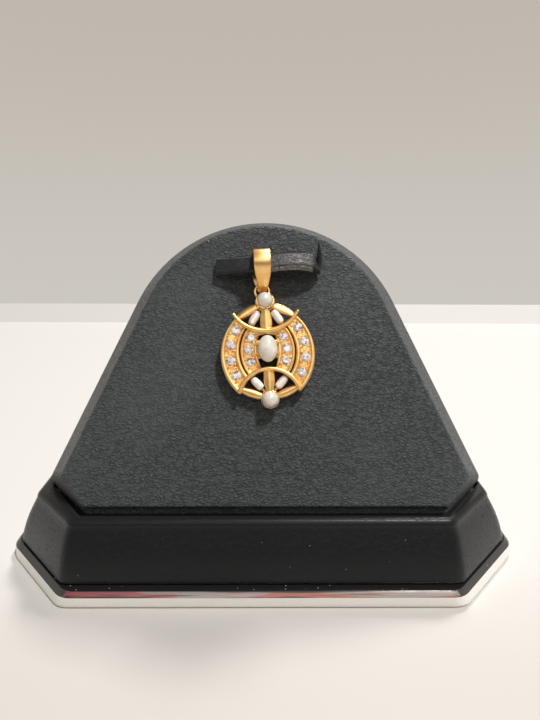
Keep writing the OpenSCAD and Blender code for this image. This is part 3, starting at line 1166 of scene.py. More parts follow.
@dataclass
class Panel:
    """The leaning arched panel.

    Attributes:
        half_w: Half width of its face at the foot.
        corner_lean: Lean of the lower corner edges in degrees.
        side_lean: Lean of the long side edges in degrees.
        arch_r: Radius of the arch.
        arch_y: Height of the arch's centre along the face.
        thick: Its thickness.
        flare: How much wider its back is, all round.
        edge_r: Radius of its front edge.
        back_edge: Depth of its softened back edge.
        sole: Height of its sole.
        face_foot: How far up the face its lower edge lies, over the recess.
        face_deep: Depth down to which that edge reaches, before the foot goes down into the recess.
        spacing: Number of points round its outline.
    """

    half_w: float = 31.3
    corner_lean: float = 37.0
    side_lean: float = 23.6
    arch_r: float = 23.8
    arch_y: float = 28.9
    thick: float = 9.0
    flare: float = 4.1
    edge_r: float = 0.8
    back_edge: float = 0.6
    sole: float = 11.9
    face_foot: float = 0.7
    face_deep: float = 1.75
    spacing: int = 300

    def foot_side(self) -> float:
        """Half width of the panel's back at the block's top."""
        corner = math.radians(self.corner_lean)
        return self.half_w + self.thick * (
            math.tan(math.radians(LEAN)) * math.tan(corner) + self.flare / self.thick / math.cos(corner)
        )

    def ring(self, grow: float, depth: float) -> Ring:
        """Draws the panel's outline at a depth under its face.

        Args:
            grow: How far it lies outside the face's outline.
            depth: The depth.

        Returns:
            The ring.
        """
        corner, side, lean = (math.radians(a) for a in (self.corner_lean, self.side_lean, LEAN))
        low_line = (heading(-corner), self.half_w * math.cos(corner) + grow)
        side_line = (heading(side), self.arch_r + grow + self.arch_y * math.sin(side))
        sole_y = (self.sole - PANEL_FOOT.z + depth * math.sin(lean)) / math.cos(lean)
        if depth < self.face_deep:
            sole_y = self.face_foot - grow * 0.5 + 0.25 * ease((depth - 0.9) / 0.8)
        half = [crossing(low_line, (Vector((0, 1, 0)), sole_y))]
        knee = crossing(low_line, side_line)
        half += [knee + Vector((-0.02, -0.3, 0)), knee + Vector((-0.1, 0.3, 0))]
        for k in range(25):
            out = heading(arc_angle(k, 24, self.side_lean, 90))
            half.append(Vector((0, self.arch_y, 0)) + (self.arch_r + grow) * out)
        whole = half + [Vector((-p.x, p.y, 0)) for p in reversed(half[:-1])]
        return at_height(respaced(whole, self.spacing), -depth)

    def build(self, wardrobe: Wardrobe) -> None:
        """Builds the panel from its back to its softly rounded face.

        Args:
            wardrobe: The finishes.
        """
        rows = [
            (self.flare - 0.9, self.thick), (self.flare - 0.25, self.thick - 0.15),
            (self.flare, self.thick - self.back_edge),
        ]
        for depth in (7.0, 5.5, 4.0, 2.8, 1.9, 1.7, 1.25, self.edge_r):
            share = (depth - self.edge_r) / (self.thick - self.back_edge - self.edge_r)
            rows.append((self.flare * share, depth))
        for k in range(1, 7):
            a = arc_angle(k, 6, 0, 90)
            rows.append((-self.edge_r * (1 - math.cos(a)), self.edge_r * (1 - math.sin(a))))
        form = loft([self.ring(grow, depth) for grow, depth in rows])
        finishes = [wardrobe.grained]
        settle(form, "leatherette_panel", ON_PANEL, finishes, ["panel"], 40.0)


class StrapPart(Enum):
    """The strap's kinds of faces, in the order of its finishes."""

    PLAIN = 0
    RAW_EDGE = 1
    # Faces given the lighter copy of the leatherette, as painted light.
    PAINTED_LIT = 2


@dataclass
class Strap:
    """The leatherette strip that bridges the panel and holds the bail.

    Attributes:
        width: Its width where the bail holds it.
        thick: Its thickness there.
        round_edge: Share of its thickness that rounds its edges.
        worn: From and to across the panel, the span that is painted lighter, as painted light where the strip
            turns up to the light; its underside there shows the raw edge.
        tip_from: Height along the panel where its tip starts.
    """

    width: float = 3.6
    thick: float = 1.1
    round_edge: float = 0.36
    painted_lit: tuple[float, float] = (0.6, 8.6)
    tip_from: float = 46.0

    def rows(self) -> list[list[float]]:
        """Lists its sections: x, along, height, slope, turn, width and thickness."""
        w, t = self.width, self.thick
        return [
            [-9.0, 43.75, 0.95, 12, 6, 3.4, 1.0],
            [-7.0, 43.7, 1.4, 14, 10, 3.4, 1.0],
            [-4.3, 43.6, 2.2, 14, 17, 3.5, 1.05],
            [-2.2, 43.6, 2.75, 7, 22, w, t],
            [-0.5, 43.62, 2.95, 3, 25, w, t],
            [1.2, 43.7, 3.0, 1, 28, w, t],
            [2.7, 43.95, 3.05, 0, 32, 3.75, 1.35],
            [4.5, 44.1, 3.05, 0, 34, 3.85, 1.5],
            [6.5, 44.15, 2.95, -8, 34, 3.85, 1.5],
            [8.2, 44.1, 2.5, -32, 24, 3.7, 1.4],
            [9.2, 44.05, 1.75, -62, 12, 3.5, 1.3],
            [9.55, 44.0, 1.0, -84, 4, 3.3, 1.2],
        ]

    def section(self, row: Sequence[float]) -> Ring:
        """Draws the strip's section, its lower edge raw and uneven.

        Args:
            row: A row of the strip's table.

        Returns:
            The ring.
        """
        x, along, height, slope, turn, w, t = row
        slope, turn = math.radians(slope), math.radians(turn)
        out = Vector((-math.sin(slope), 0, math.cos(slope)))
        up = Vector((0, 1, 0))
        wide = math.cos(turn) * up - math.sin(turn) * out
        high = math.sin(turn) * up + math.cos(turn) * out
        box = [Vector((sx * w / 2, sy * t / 2, 0)) for sx, sy in ((-1, -1), (1, -1), (1, 1), (-1, 1))]
        ring = []
        for p in respaced(rounded(box, t * self.round_edge, 4), 40):
            place = Vector((x, along, height)) + p.x * wide + p.y * high
            raw = ease((-p.x - w * 0.38) / (w * 0.12))
            wander = 0.16 * noise.noise(place * 2.3) + 0.1 * noise.noise(place * 6.0)
            ring.append(place + wide * (wander * raw) + high * 0.05 * noise.noise(place * 3.1))
        return ring

    def tip(self) -> Form:
        """Builds the strip's pointed end, which stands up beside its fold.

        Returns:
            The pointed end.
        """
        rows = [
            [43.6, 9.75, 1.7, 1.3, 1.0],
            [45.0, 9.95, 2.5, 1.2, 0.9],
            [46.0, 9.9, 3.1, 0.85, 0.7],
            [46.9, 9.8, 3.6, 0.55, 0.45],
            [47.6, 9.7, 3.95, 0.12, 0.1],
        ]
        rings = []
        for along, x, height, w, t in curve_rows(rows, 6):
            ring = []
            for k in range(20):
                a = math.tau * k / 20
                fold = 0.22 * t * math.cos(a) * math.cos(a)
                place = Vector((x, along, height - fold))
                ring.append(place + Vector((w / 2 * math.cos(a), -t / 4 * math.sin(a), t / 2 * math.sin(a))))
            rings.append(ring)
        return loft(rings)

    def build(self, wardrobe: Wardrobe) -> None:
        """Builds the strip and its standing tip.

        Args:
            wardrobe: The finishes.
        """
        strip = loft([self.section(row) for row in curve_rows(self.rows(), 7)])
        form = join([strip, self.tip()])
        finishes = [wardrobe.strap, wardrobe.raw_edge, wardrobe.painted_lit_strap]
        piece = settle(form, "strap_strip", ON_PANEL, finishes, ["strap"], 60.0)
        down = (ON_PANEL.to_3x3() @ Vector((0, -1, 0))).normalized()
        to_panel = ON_PANEL.inverted()
        for face in piece.data.polygons:
            middle = to_panel @ face.center
            # Over this span the strip is painted lighter, as lit, all but its raw underside.
            if self.painted_lit[0] < middle.x < self.painted_lit[1] and middle.y < self.tip_from:
                part = StrapPart.RAW_EDGE if face.normal.dot(down) > 0.4 else StrapPart.PAINTED_LIT
                face.material_index = part.value


@dataclass
class Bail:
    """The tapered gold band bent over the strap.

    Attributes:
        x: Its middle across the pendant.
        top: Centre of its top bend, y and z in the pendant's frame.
        foot: Centre of its foot bend.
        outer_r: Outer radius of the top bend.
        foot_r: Outer radius of the foot bend.
        thick: Thickness of the band.
        soft: Radius of its edges.
        crown: How far its middle stands out over its edges.
        skew: How far its back strip lies to the left.
        widths: Half widths at heights along the pendant.
    """

    x: float = -0.1
    top: tuple[float, float] = (15.6, 1.41)
    foot: tuple[float, float] = (11.18, -0.43)
    outer_r: float = 2.6
    foot_r: float = 0.76
    thick: float = 0.4
    soft: float = 0.13
    crown: float = 0.07
    skew: float = 0.45
    widths: tuple[tuple[float, float], ...] = (
        (10.0, 0.45), (10.7, 0.45), (11.0, 0.62), (11.6, 0.87),
        (12.4, 1.12), (13.2, 1.38), (14.4, 1.5), (18.5, 1.5),
    )

    def half_width(self, y: float) -> float:
        """Gives the band's half width at a height along the pendant.

        Args:
            y: The height.

        Returns:
            The half width.
        """
        for low, high in zip(self.widths, self.widths[1:]):
            if y <= high[0]:
                t = (max(y, low[0]) - low[0]) / (high[0] - low[0])
                return low[1] + (high[1] - low[1]) * t
        return self.widths[-1][1]

    def path(self) -> list[tuple[Vector, Vector]]:
        """Draws the band's middle line, once round.

        Returns:
            Its points, each with the outward direction there.
        """
        top, foot = (Vector((0, y, z)) for y, z in (self.top, self.foot))
        axis = (foot - top).normalized()
        beside = Vector((0, -axis.z, axis.y))
        tilt = math.asin((self.outer_r - self.foot_r) / (foot - top).length)
        stops = []
        for centre, radius, first, last, count in (
            (top, self.outer_r, -tilt, math.pi + tilt, 34),
            (foot, self.foot_r, math.pi + tilt, math.tau - tilt, 12),
        ):
            for k in range(count + 1):
                a = first + (last - first) * k / count
                out = math.cos(a) * beside - math.sin(a) * axis
                stops.append((centre + (radius - self.thick / 2) * out, out))
        fine = []
        for (p, n), (q, m) in zip(stops, stops[1:] + stops[:1]):
            count = max(1, round((q - p).length / 0.35))
            fine += [(p.lerp(q, k / count), n.lerp(m, k / count).normalized()) for k in range(count)]
        return fine

    def build(self, wardrobe: Wardrobe) -> None:
        """Builds the band as a closed loop with soft edges.

        Args:
            wardrobe: The finishes.
        """
        stops = self.path()
        behind = Vector((0, self.foot[1] - self.top[1], self.top[0] - self.foot[0])).normalized() * -1
        rings = []
        t = self.thick / 2
        for middle, out in stops + stops[:1]:
            w = self.half_width(middle.y)
            box = [Vector((x, y, 0)) for x, y in ((-w, -t), (w, -t), (w, t), (-w, t))]
            centre = Vector((self.x - self.skew * ease(out.dot(behind)), middle.y, middle.z))
            rings.append([
                centre + Vector((p.x, 0, 0)) + out * (p.y + self.crown * (1 - (p.x / w) ** 2))
                for p in rounded(box, self.soft, 4)
            ])
        form = loft(rings)
        edit(form, "DESELECT")
        bpy.ops.mesh.select_face_by_sides(number=4, type="GREATER")
        bpy.ops.mesh.delete(type="ONLY_FACE")
        bpy.ops.object.mode_set(mode="OBJECT")
        settle(form, "gold_bail", ON_PENDANT, [wardrobe.satin_gold], ["bail"], 50.0)


@dataclass
class JumpRing:
    """The ring between the bail and the pendant's eye.

    Attributes:
        centre: Its centre in the pendant's frame.
        radius: Radius of its middle line.
        wire: Thickness of its wire.
        joint: Angle of its solder joint and half the angle that the joint takes, in radians.
        swell: Share by which the wire is thicker there.
    """

    centre: Vector = Vector((-0.42, 10.9, -0.43))
    radius: float = 1.3
    wire: float = 0.5
    joint: tuple[float, float] = (2.2, 0.12)
    swell: float = 0.1

    def build(self, wardrobe: Wardrobe) -> None:
        """Builds the ring with the small swelling of its solder joint.

        Args:
            wardrobe: The finishes.
        """
        deselect()
        bpy.ops.mesh.primitive_torus_add(
            major_radius=self.radius, minor_radius=self.wire / 2, major_segments=64, minor_segments=16
        )
        form = bpy.context.object
        for corner in form.data.vertices:
            a = math.atan2(corner.co.y, corner.co.x)
            on_wire = heading(a) * self.radius
            swell = 1 + self.swell * math.exp(-((a - self.joint[0]) / self.joint[1]) ** 2)
            corner.co = on_wire + (corner.co - on_wire) * swell
        form.data.transform(Matrix.Translation(self.centre))
        settle(form, "gold_jump_ring", ON_PENDANT, [wardrobe.polished_gold], ["jump_ring"], 80.0)


@dataclass(frozen=True)
class Arc:
    """A circle that bounds the right half of the pendant's bands.

    Attributes:
        x: Its centre's x.
        y: Its centre's y.
        r: Its radius.
    """

    x: float
    y: float
    r: float

    def centre(self) -> Vector:
        """Gives the centre as a vector."""
        return Vector((self.x, self.y, 0))


@dataclass(frozen=True)
class StoneRow:
    """A row of stones on one band.

    Attributes:
        x: Centre of the row's arc, x.
        y: Centre of the row's arc, y.
        r: Radius of the arc.
        first: Angle of the first stone in degrees.
        step: Angle from stone to stone.
        count: Number of stones.
    """

    x: float
    y: float
    r: float
    first: float
    step: float
    count: int

    def place(self, k: float, across: float = 0.0) -> Vector:
        """Gives the place of a stone, or between two stones, so far outside the row's middle line."""
        out = heading(math.radians(self.first + k * self.step))
        return Vector((self.x, self.y, 0)) + (self.r + across) * out


# The rows of stones on the right half of the pendant
OUTER_ROW = StoneRow(-1.6, -0.7, 8.31, 31.0, -19.3, 4)
INNER_ROW = StoneRow(-2.4, -0.4, 5.83, 24.4, -21.35, 3)

# Height of the bands' tops, height and half width of their channels' floors, and width of a stone
BAND_T = 1.35
CHANNEL_FLOOR = BAND_T - 0.17
CHANNEL_HALF = 0.98
STONE_D = 1.75


@dataclass
class Bands:
    """The four gold bands with their rims and stone channels.

    Attributes:
        upper_fan: Circle that ends them at the upper fan.
        lower_fan: Circle that ends them at the lower fan.
        outline: Outer edge of the outer bands.
        outer_hole: Their inner edge.
        inner_outline: Outer edge of the inner bands.
        opening: Their inner edge, round the oval pearl.
        wall: Width that each rim keeps beside its channel, at least.
        bridge_half_w: Half width of the bridge over the oval pearl.
    """

    upper_fan: Arc = Arc(0, 9.45, 6.35)
    lower_fan: Arc = Arc(0, -9.2, 5.7)
    outline: Arc = Arc(-1.04, -0.94, 9.41)
    outer_hole: Arc = Arc(-2.24, -0.4, 7.32)
    inner_outline: Arc = Arc(-2.24, -0.4, 7.1)
    opening: Arc = Arc(-7.05, -0.1, 8.9)
    wall: float = 0.22
    bridge_half_w: float = 2.3

    def end_angle(self, row: StoneRow, fan: Arc, distance: float, turn: float) -> float:
        """Finds where an arc round the row's centre meets a fan's circle.

        Args:
            row: The row.
            fan: The fan's circle.
            distance: Radius of the arc.
            turn: -1 for the upper fan and 1 for the lower one.

        Returns:
            The angle in radians.
        """
        off = fan.centre() - Vector((row.x, row.y, 0))
        cosine = (distance**2 + off.length_squared - fan.r**2) / (2 * distance * off.length)
        return math.atan2(off.y, off.x) + turn * math.acos(max(-1.0, min(1.0, cosine)))

    def profile(self, row: StoneRow, low: float, high: float) -> list[tuple[float, float]]:
        """Draws a band's section as distance from the row's centre and height.

        Args:
            row: The band's row.
            low: Distance of its inner edge.
            high: Distance of its outer edge.

        Returns:
            The section's points.
        """
        floor, top = CHANNEL_FLOOR, BAND_T
        a = max(row.r - CHANNEL_HALF, low + self.wall)
        b = min(row.r + CHANNEL_HALF, high - self.wall)
        across = [a + (b - a) * t for t in (0.2, 0.35, 0.5, 0.65, 0.8)]
        return [
            (low, 0.05), (low, top - 0.2), (low + 0.04, top - 0.08), (low + 0.12, top - 0.01),
            ((low + a) / 2, top + 0.02), (a - 0.08, top), (a, top - 0.06), (a + 0.05, floor + 0.06),
            (a + 0.14, floor), *((r, floor) for r in across), (b - 0.14, floor), (b - 0.05, floor + 0.06),
            (b, top - 0.06), (b + 0.08, top), ((b + high) / 2, top + 0.02), (high - 0.14, top - 0.01),
            (high - 0.05, top - 0.09), (high, top - 0.25), (high, 0.05), (high - 0.1, 0.0), (low + 0.1, 0.0),
        ]

    def band(self, row: StoneRow, inner: Arc, outer: Arc, side: Side, steps: int = 56) -> Form:
        """Sweeps a band's section from the upper fan to the lower one.

        Args:
            row: The band's row of stones.
            inner: Its inner edge.
            outer: Its outer edge.
            side: The half of the pendant.
            steps: Number of steps.

        Returns:
            The band.
        """
        centre = Vector((row.x, row.y, 0))
        rings = []
        for k in range(steps + 1):
            t = k / steps
            guess = math.radians(45 - 90 * t)
            ring = []
            for i in range(len(self.profile(row, 0, 10))):
                angle = guess
                for _ in range(4):
                    low = ray_to_circle(centre, angle, inner.centre(), inner.r)
                    high = ray_to_circle(centre, angle, outer.centre(), outer.r)
                    distance, z = self.profile(row, low, high)[i]
                    first = self.end_angle(row, self.upper_fan, distance, -1)
                    last = self.end_angle(row, self.lower_fan, distance, 1)
                    angle = first + (last - first) * t
                ring.append(on_side(side, centre + distance * heading(angle), z))
            rings.append(ring)
        return loft(rings)

    def bridge(self) -> Form:
        """Builds the strip of the inner plate that joins its halves above the pearl.

        Returns:
            The strip.
        """
        rings = []
        for k in range(25):
            x = self.bridge_half_w * (k / 12 - 1)
            low = 2.62 - 0.09 * abs(x) ** 2.2
            high = self.upper_fan.y - math.sqrt(self.upper_fan.r**2 - x * x)
            rows = [
                (low, 0.05), (low, BAND_T - 0.2), (low + 0.05, BAND_T - 0.06), (low + 0.16, BAND_T + 0.01),
                (high, BAND_T), (high, 0.05),
            ]
            rings.append([Vector((x, y, z)) for y, z in rows])
        return loft(rings)

    def build(self, wardrobe: Wardrobe, grains: list[Form]) -> None:
        """Builds the bands and sets their grains of metal on them.

        Args:
            wardrobe: The finishes.
            grains: The grains between the stones.
        """
        forms = []
        for side in Side:
            forms.append(self.band(OUTER_ROW, self.outer_hole, self.outline, side))
            forms.append(self.band(INNER_ROW, self.opening, self.inner_outline, side))
        forms.append(self.bridge())
        finishes = [wardrobe.satin_gold, wardrobe.granular_gold]
        piece = settle_gold(forms, "gold_bands", finishes, 50.0)
        to_pendant = ON_PENDANT.inverted()
        for face in piece.data.polygons:
            middle = to_pendant @ face.center
            if CHANNEL_FLOOR - 0.05 < middle.z < CHANNEL_FLOOR + 0.1 and abs(middle.y) < 8:
                face.material_index = finishes.index(wardrobe.granular_gold)
        settle_gold(grains, "gold_grains", [wardrobe.polished_gold], 80.0)


@dataclass
class Stones:
    """The round clear stones, each with the grains of metal that hold it.

    Attributes:
        rim_z: Height of the girdle.
        table_r: Radius of the table, as a share of the diameter.
        crown: Height of the crown, as a share of the diameter.
        pavilion: Depth of the pavilion, as a share of the diameter.
        girdle: Thickness of the girdle.
        prong: Radii of a prong.
        prong_at: How far from the row's middle line the prongs stand, and their share of the way to the gap.
        granule: Radii of a granule.
        granule_tries: How often a granule's place is drawn for each channel.
    """

    rim_z: float = 1.22
    table_r: float = 0.28
    crown: float = 0.16
    pavilion: float = 0.43
    girdle: float = 0.05
    prong: Triple = (0.2, 0.2, 0.24)
    prong_at: tuple[float, float] = (0.62, 0.62)
    granule: Triple = (0.11, 0.11, 0.12)
    granule_tries: int = 170

    def pattern(self) -> Form:
        """Builds one brilliant round the origin: table, star, bezel and girdle facets, and its pavilion.

        Returns:
            The brilliant.
        """
        d = STONE_D
        slope = self.crown / (0.5 - self.table_r)
        star_r, half_r = 0.4, 0.11
        star_z = self.crown - (star_r * math.cos(math.pi / 8) - self.table_r) * slope
        half_z = -(0.5 - half_r * math.cos(math.pi / 8)) * self.pavilion / 0.5
        rows = [
            (self.table_r, self.crown, 8, 0.0), (star_r, star_z, 8, 0.5), (0.5, 0.0, 16, 0.0),
            (0.5, -self.girdle / d, 16, 0.0), (half_r, half_z - self.girdle / d, 8, 0.5),
            (0.004, -self.pavilion - self.girdle / d, 8, 0.0),
        ]
        rings = []
        for r, z, count, turn in rows:
            deselect()
            bpy.ops.mesh.primitive_circle_add(vertices=count, radius=r * d)
            ring = bpy.context.object
            turned = Matrix.Rotation(turn * math.tau / count, 4, "Z")
            ring.data.transform(Matrix.Translation((0, 0, z * d)) @ turned)
            rings.append(ring)
        form = join(rings)
        edit(form)
        bpy.ops.mesh.convex_hull(face_threshold=math.radians(1.5), shape_threshold=math.radians(180))
        bpy.ops.object.mode_set(mode="OBJECT")
        return form

    def build(self, wardrobe: Wardrobe) -> list[Form]:
        """Sets a copy of the brilliant at each place, turned a little from stone to stone.

        Args:
            wardrobe: The finishes.

        Returns:
            The grains of metal round the stones, still to be joined.
        """
        pattern = self.pattern()
        prong = bead(self.prong, 2)
        granule = bead(self.granule, 1)
        chance = random.Random(11)
        grains = []
        for label, row in (("outer", OUTER_ROW), ("inner", INNER_ROW)):
            for side in Side:
                for k in range(row.count):
                    turn = Matrix.Rotation(chance.uniform(0, math.tau), 4, "Z")
                    tip = Matrix.Rotation(math.radians(chance.uniform(-3, 3)), 4, "X")
                    spot = Matrix.Translation(on_side(side, row.place(k), self.rim_z))
                    name = f"{label}_{side.name.lower()}_{k + 1}"
                    stone = copy_to(pattern, spot @ tip @ turn)
                    node = f"stone_{name}"
                    finishes = [wardrobe.clear_stone]
                    settle(stone, f"brilliant_{name}", ON_PENDANT, finishes, [node], 1.0)
                    grains += self.prongs(row, k, side, prong)
                grains += self.granules(row, side, granule, chance)
        for spare in (pattern, prong, granule):
            bpy.data.objects.remove(spare)
        return grains

    def prongs(self, row: StoneRow, k: int, side: Side, prong: Form) -> list[Form]:
        """Sets four prongs round a stone.

        Args:
            row: The stone's row.
            k: Its number.
            side: The half of the pendant.
            prong: The prong to copy.

        Returns:
            The prongs.
        """
        beside, share = self.prong_at
        found = []
        for half_step in (-0.5, 0.5):
            for across in (-beside, beside):
                place = row.place(k, across).lerp(row.place(k + half_step, across), share)
                found.append(copy_to(prong, Matrix.Translation(on_side(side, place, CHANNEL_FLOOR + 0.2))))
        return found

    def granules(
        self, row: StoneRow, side: Side, granule: Form, chance: random.Random
    ) -> list[Form]:
        """Scatters small granules over a channel, clear of its stones.

        Args:
            row: The row.
            side: The half of the pendant.
            granule: The granule to copy.
            chance: The random draws.

        Returns:
            The granules.
        """
        stones = [row.place(k) for k in range(row.count)]
        found = []
        for _ in range(self.granule_tries):
            along = chance.uniform(-0.75, row.count - 0.25)
            place = row.place(along, chance.uniform(-0.84, 0.84))
            if min((place - stone).length for stone in stones) < STONE_D / 2 + 0.06:
                continue
            size = Matrix.Scale(chance.uniform(0.9, 1.6), 4)
            spot = Matrix.Translation(on_side(side, place, CHANNEL_FLOOR + 0.03))
            found.append(copy_to(granule, spot @ size))
        return found


@dataclass
class Bars:
    """The two raised crescent bars.

    Attributes:
        base_z: Height of their undersides.
        shoulder_z: Height of their shoulders.
        top_z: Height of their crowns.
        upper: Circles of the upper bar's two edges.
        lower: Circles of the lower bar's two edges.
        upper_reach: How far the upper bar goes to either side, in degrees round its circles.
        lower_reach: The same of the lower bar.
        cap: Share of half its length over which each end rounds off.
        half_w: Their least half width.
    """

    base_z: float = 0.25
    shoulder_z: float = 1.45
    top_z: float = 1.95
    upper: tuple[Arc, Arc] = (Arc(0, 9.45, 6.65), Arc(0, 10.4, 6.7))
    lower: tuple[Arc, Arc] = (Arc(0, -9.2, 6.0), Arc(0, -9.0, 5.12))
    upper_reach: float = 62.5
    lower_reach: float = 76.5
    cap: float = 0.045
    half_w: float = 0.33

    def bar(self, edges: tuple[Arc, Arc], reach: float, level: Level) -> Form:
        """Sweeps a round-topped bar between its two arcs, with rounded ends.

        Args:
            edges: The arcs of its two edges.
            reach: How far it goes to either side, in degrees round its arcs.
            level: Whether it bounds the upper or the lower fan.

        Returns:
            The bar.
        """
        near, far = edges
        middle = Vector((0, (near.y + far.y) / 2, 0))
        rings = []
        steps = 72
        for k in range(steps + 1):
            s = -1 + 2 * k / steps
            past = max(0.0, abs(s) - 1 + self.cap) / self.cap
            cap = max(0.08, math.sqrt(max(0.0, 1 - past**2)))
            a = math.radians(reach) * s - math.copysign(math.pi / 2, level.value)
            ray = heading(a)
            outer = ray_to_circle(middle, a, near.centre(), near.r)
            inner = ray_to_circle(middle, a, far.centre(), far.r)
            centre = (outer + inner) / 2
            half = max(self.half_w, abs(outer - inner) / 2 + 0.03) * cap
            crown = (self.top_z - self.shoulder_z) * (0.4 + 0.6 * cap)
            shoulder = self.shoulder_z - 0.5 * (1 - cap)
            ring = [middle + ray * (centre - half) + Vector((0, 0, self.base_z))]
            for i in range(13):
                b = math.pi * i / 12
                lift = Vector((0, 0, shoulder + crown * math.sin(b)))
                ring.append(middle + ray * (centre - half * math.cos(b)) + lift)
            ring.append(middle + ray * (centre + half) + Vector((0, 0, self.base_z)))
            rings.append(ring)
        return loft(rings)

    def build(self, wardrobe: Wardrobe) -> None:
        """Builds both bars.

        Args:
            wardrobe: The finishes.
        """
        forms = [
            self.bar(self.upper, self.upper_reach, Level.UPPER),
            self.bar(self.lower, self.lower_reach, Level.LOWER),
        ]
        settle_gold(forms, "gold_crescent_bars", [wardrobe.satin_gold], 60.0)


@dataclass(frozen=True)
class Leaf:
    """One leaf of a fan, between two arcs over a chord.

    Attributes:
        outer: Its end away from the cup.
        inner: Its end at the cup.
        left: Bulge on its left.
        right: Bulge on its right.
        kept: Share of the chord that is kept, from and to.
        top: Height of its crown.
        low: Height of its underside.
        drop: How far its edges lie under the crown.
        ribs: Number of ribs along it.
        blunt: Share of its length that rounds off its ends.
        full: Below 1 its outline is fuller than a plain lens, above 1 leaner.
        taper: How much wider its outer end is than its end at the cup.
    """

    outer: tuple[float, float]
    inner: tuple[float, float]
    left: float
    right: float
    kept: tuple[float, float]
    top: float
    low: float = 0.2
    drop: float = 0.3
    ribs: int = 0
    blunt: float = 0.06
    full: float = 0.35
    taper: float = 0.0

    def form(self, side: Side) -> Form:
        """Sweeps the leaf from end to end.

        Args:
            side: The half of the pendant.

        Returns:
            The leaf.
        """
        p, q = Vector((*self.outer, 0)), Vector((*self.inner, 0))
        chord = (q - p).length
        ahead = (q - p).normalized()
        beside = Vector((-ahead.y, ahead.x, 0))
        rings = []
        steps = 26
        for k in range(steps + 1):
            t = self.kept[0] + (self.kept[1] - self.kept[0]) * k / steps
            end = min(k, steps - k) / steps
            cap = math.sqrt(max(0.02, 1 - (1 - min(1.0, end / self.blunt)) ** 2))
            lens = max(0.002, 1 - (2 * t - 1) ** 2) ** self.full * (1 + self.taper * (1 - 2 * t)) * cap
            left, right = max(0.03, self.left * lens), max(0.03, self.right * lens)
            spine = p + ahead * (chord * t)
            full = min(1.0, lens * 1.5)
            crown = self.low + (self.top - self.low) * (0.55 + 0.45 * full) * (0.6 + 0.4 * cap)
            ring = []
            for i in range(17):
                u = -1 + i / 8
                wide = left if u > 0 else right
                fall = self.drop * (abs(u) ** 2.4) + 0.35 * self.drop * ease((abs(u) - 0.85) / 0.15)
                rib = 0.03 * full * math.cos(math.pi * self.ribs * u) if self.ribs else 0.0
                ring.append(spine + beside * (wide * u) + Vector((0, 0, crown - fall + rib)))
            ring.append(spine + beside * (left * 0.96) + Vector((0, 0, self.low)))
            ring.append(spine - beside * (right * 0.96) + Vector((0, 0, self.low)))
            rings.append([on_side(side, corner, corner.z) for corner in ring])
        return loft(rings)


@dataclass(frozen=True)
class Cup:
    """A cup and the pearl that it holds.

    Attributes:
        y: Its place along the pendant.
        radius: Its radius at the rim.
        low: Height of its underside.
        pearl_r: Radius of its pearl.
        pearl_y: Place of its pearl along the pendant.
    """

    y: float
    radius: float
    low: float
    pearl_r: float
    pearl_y: float


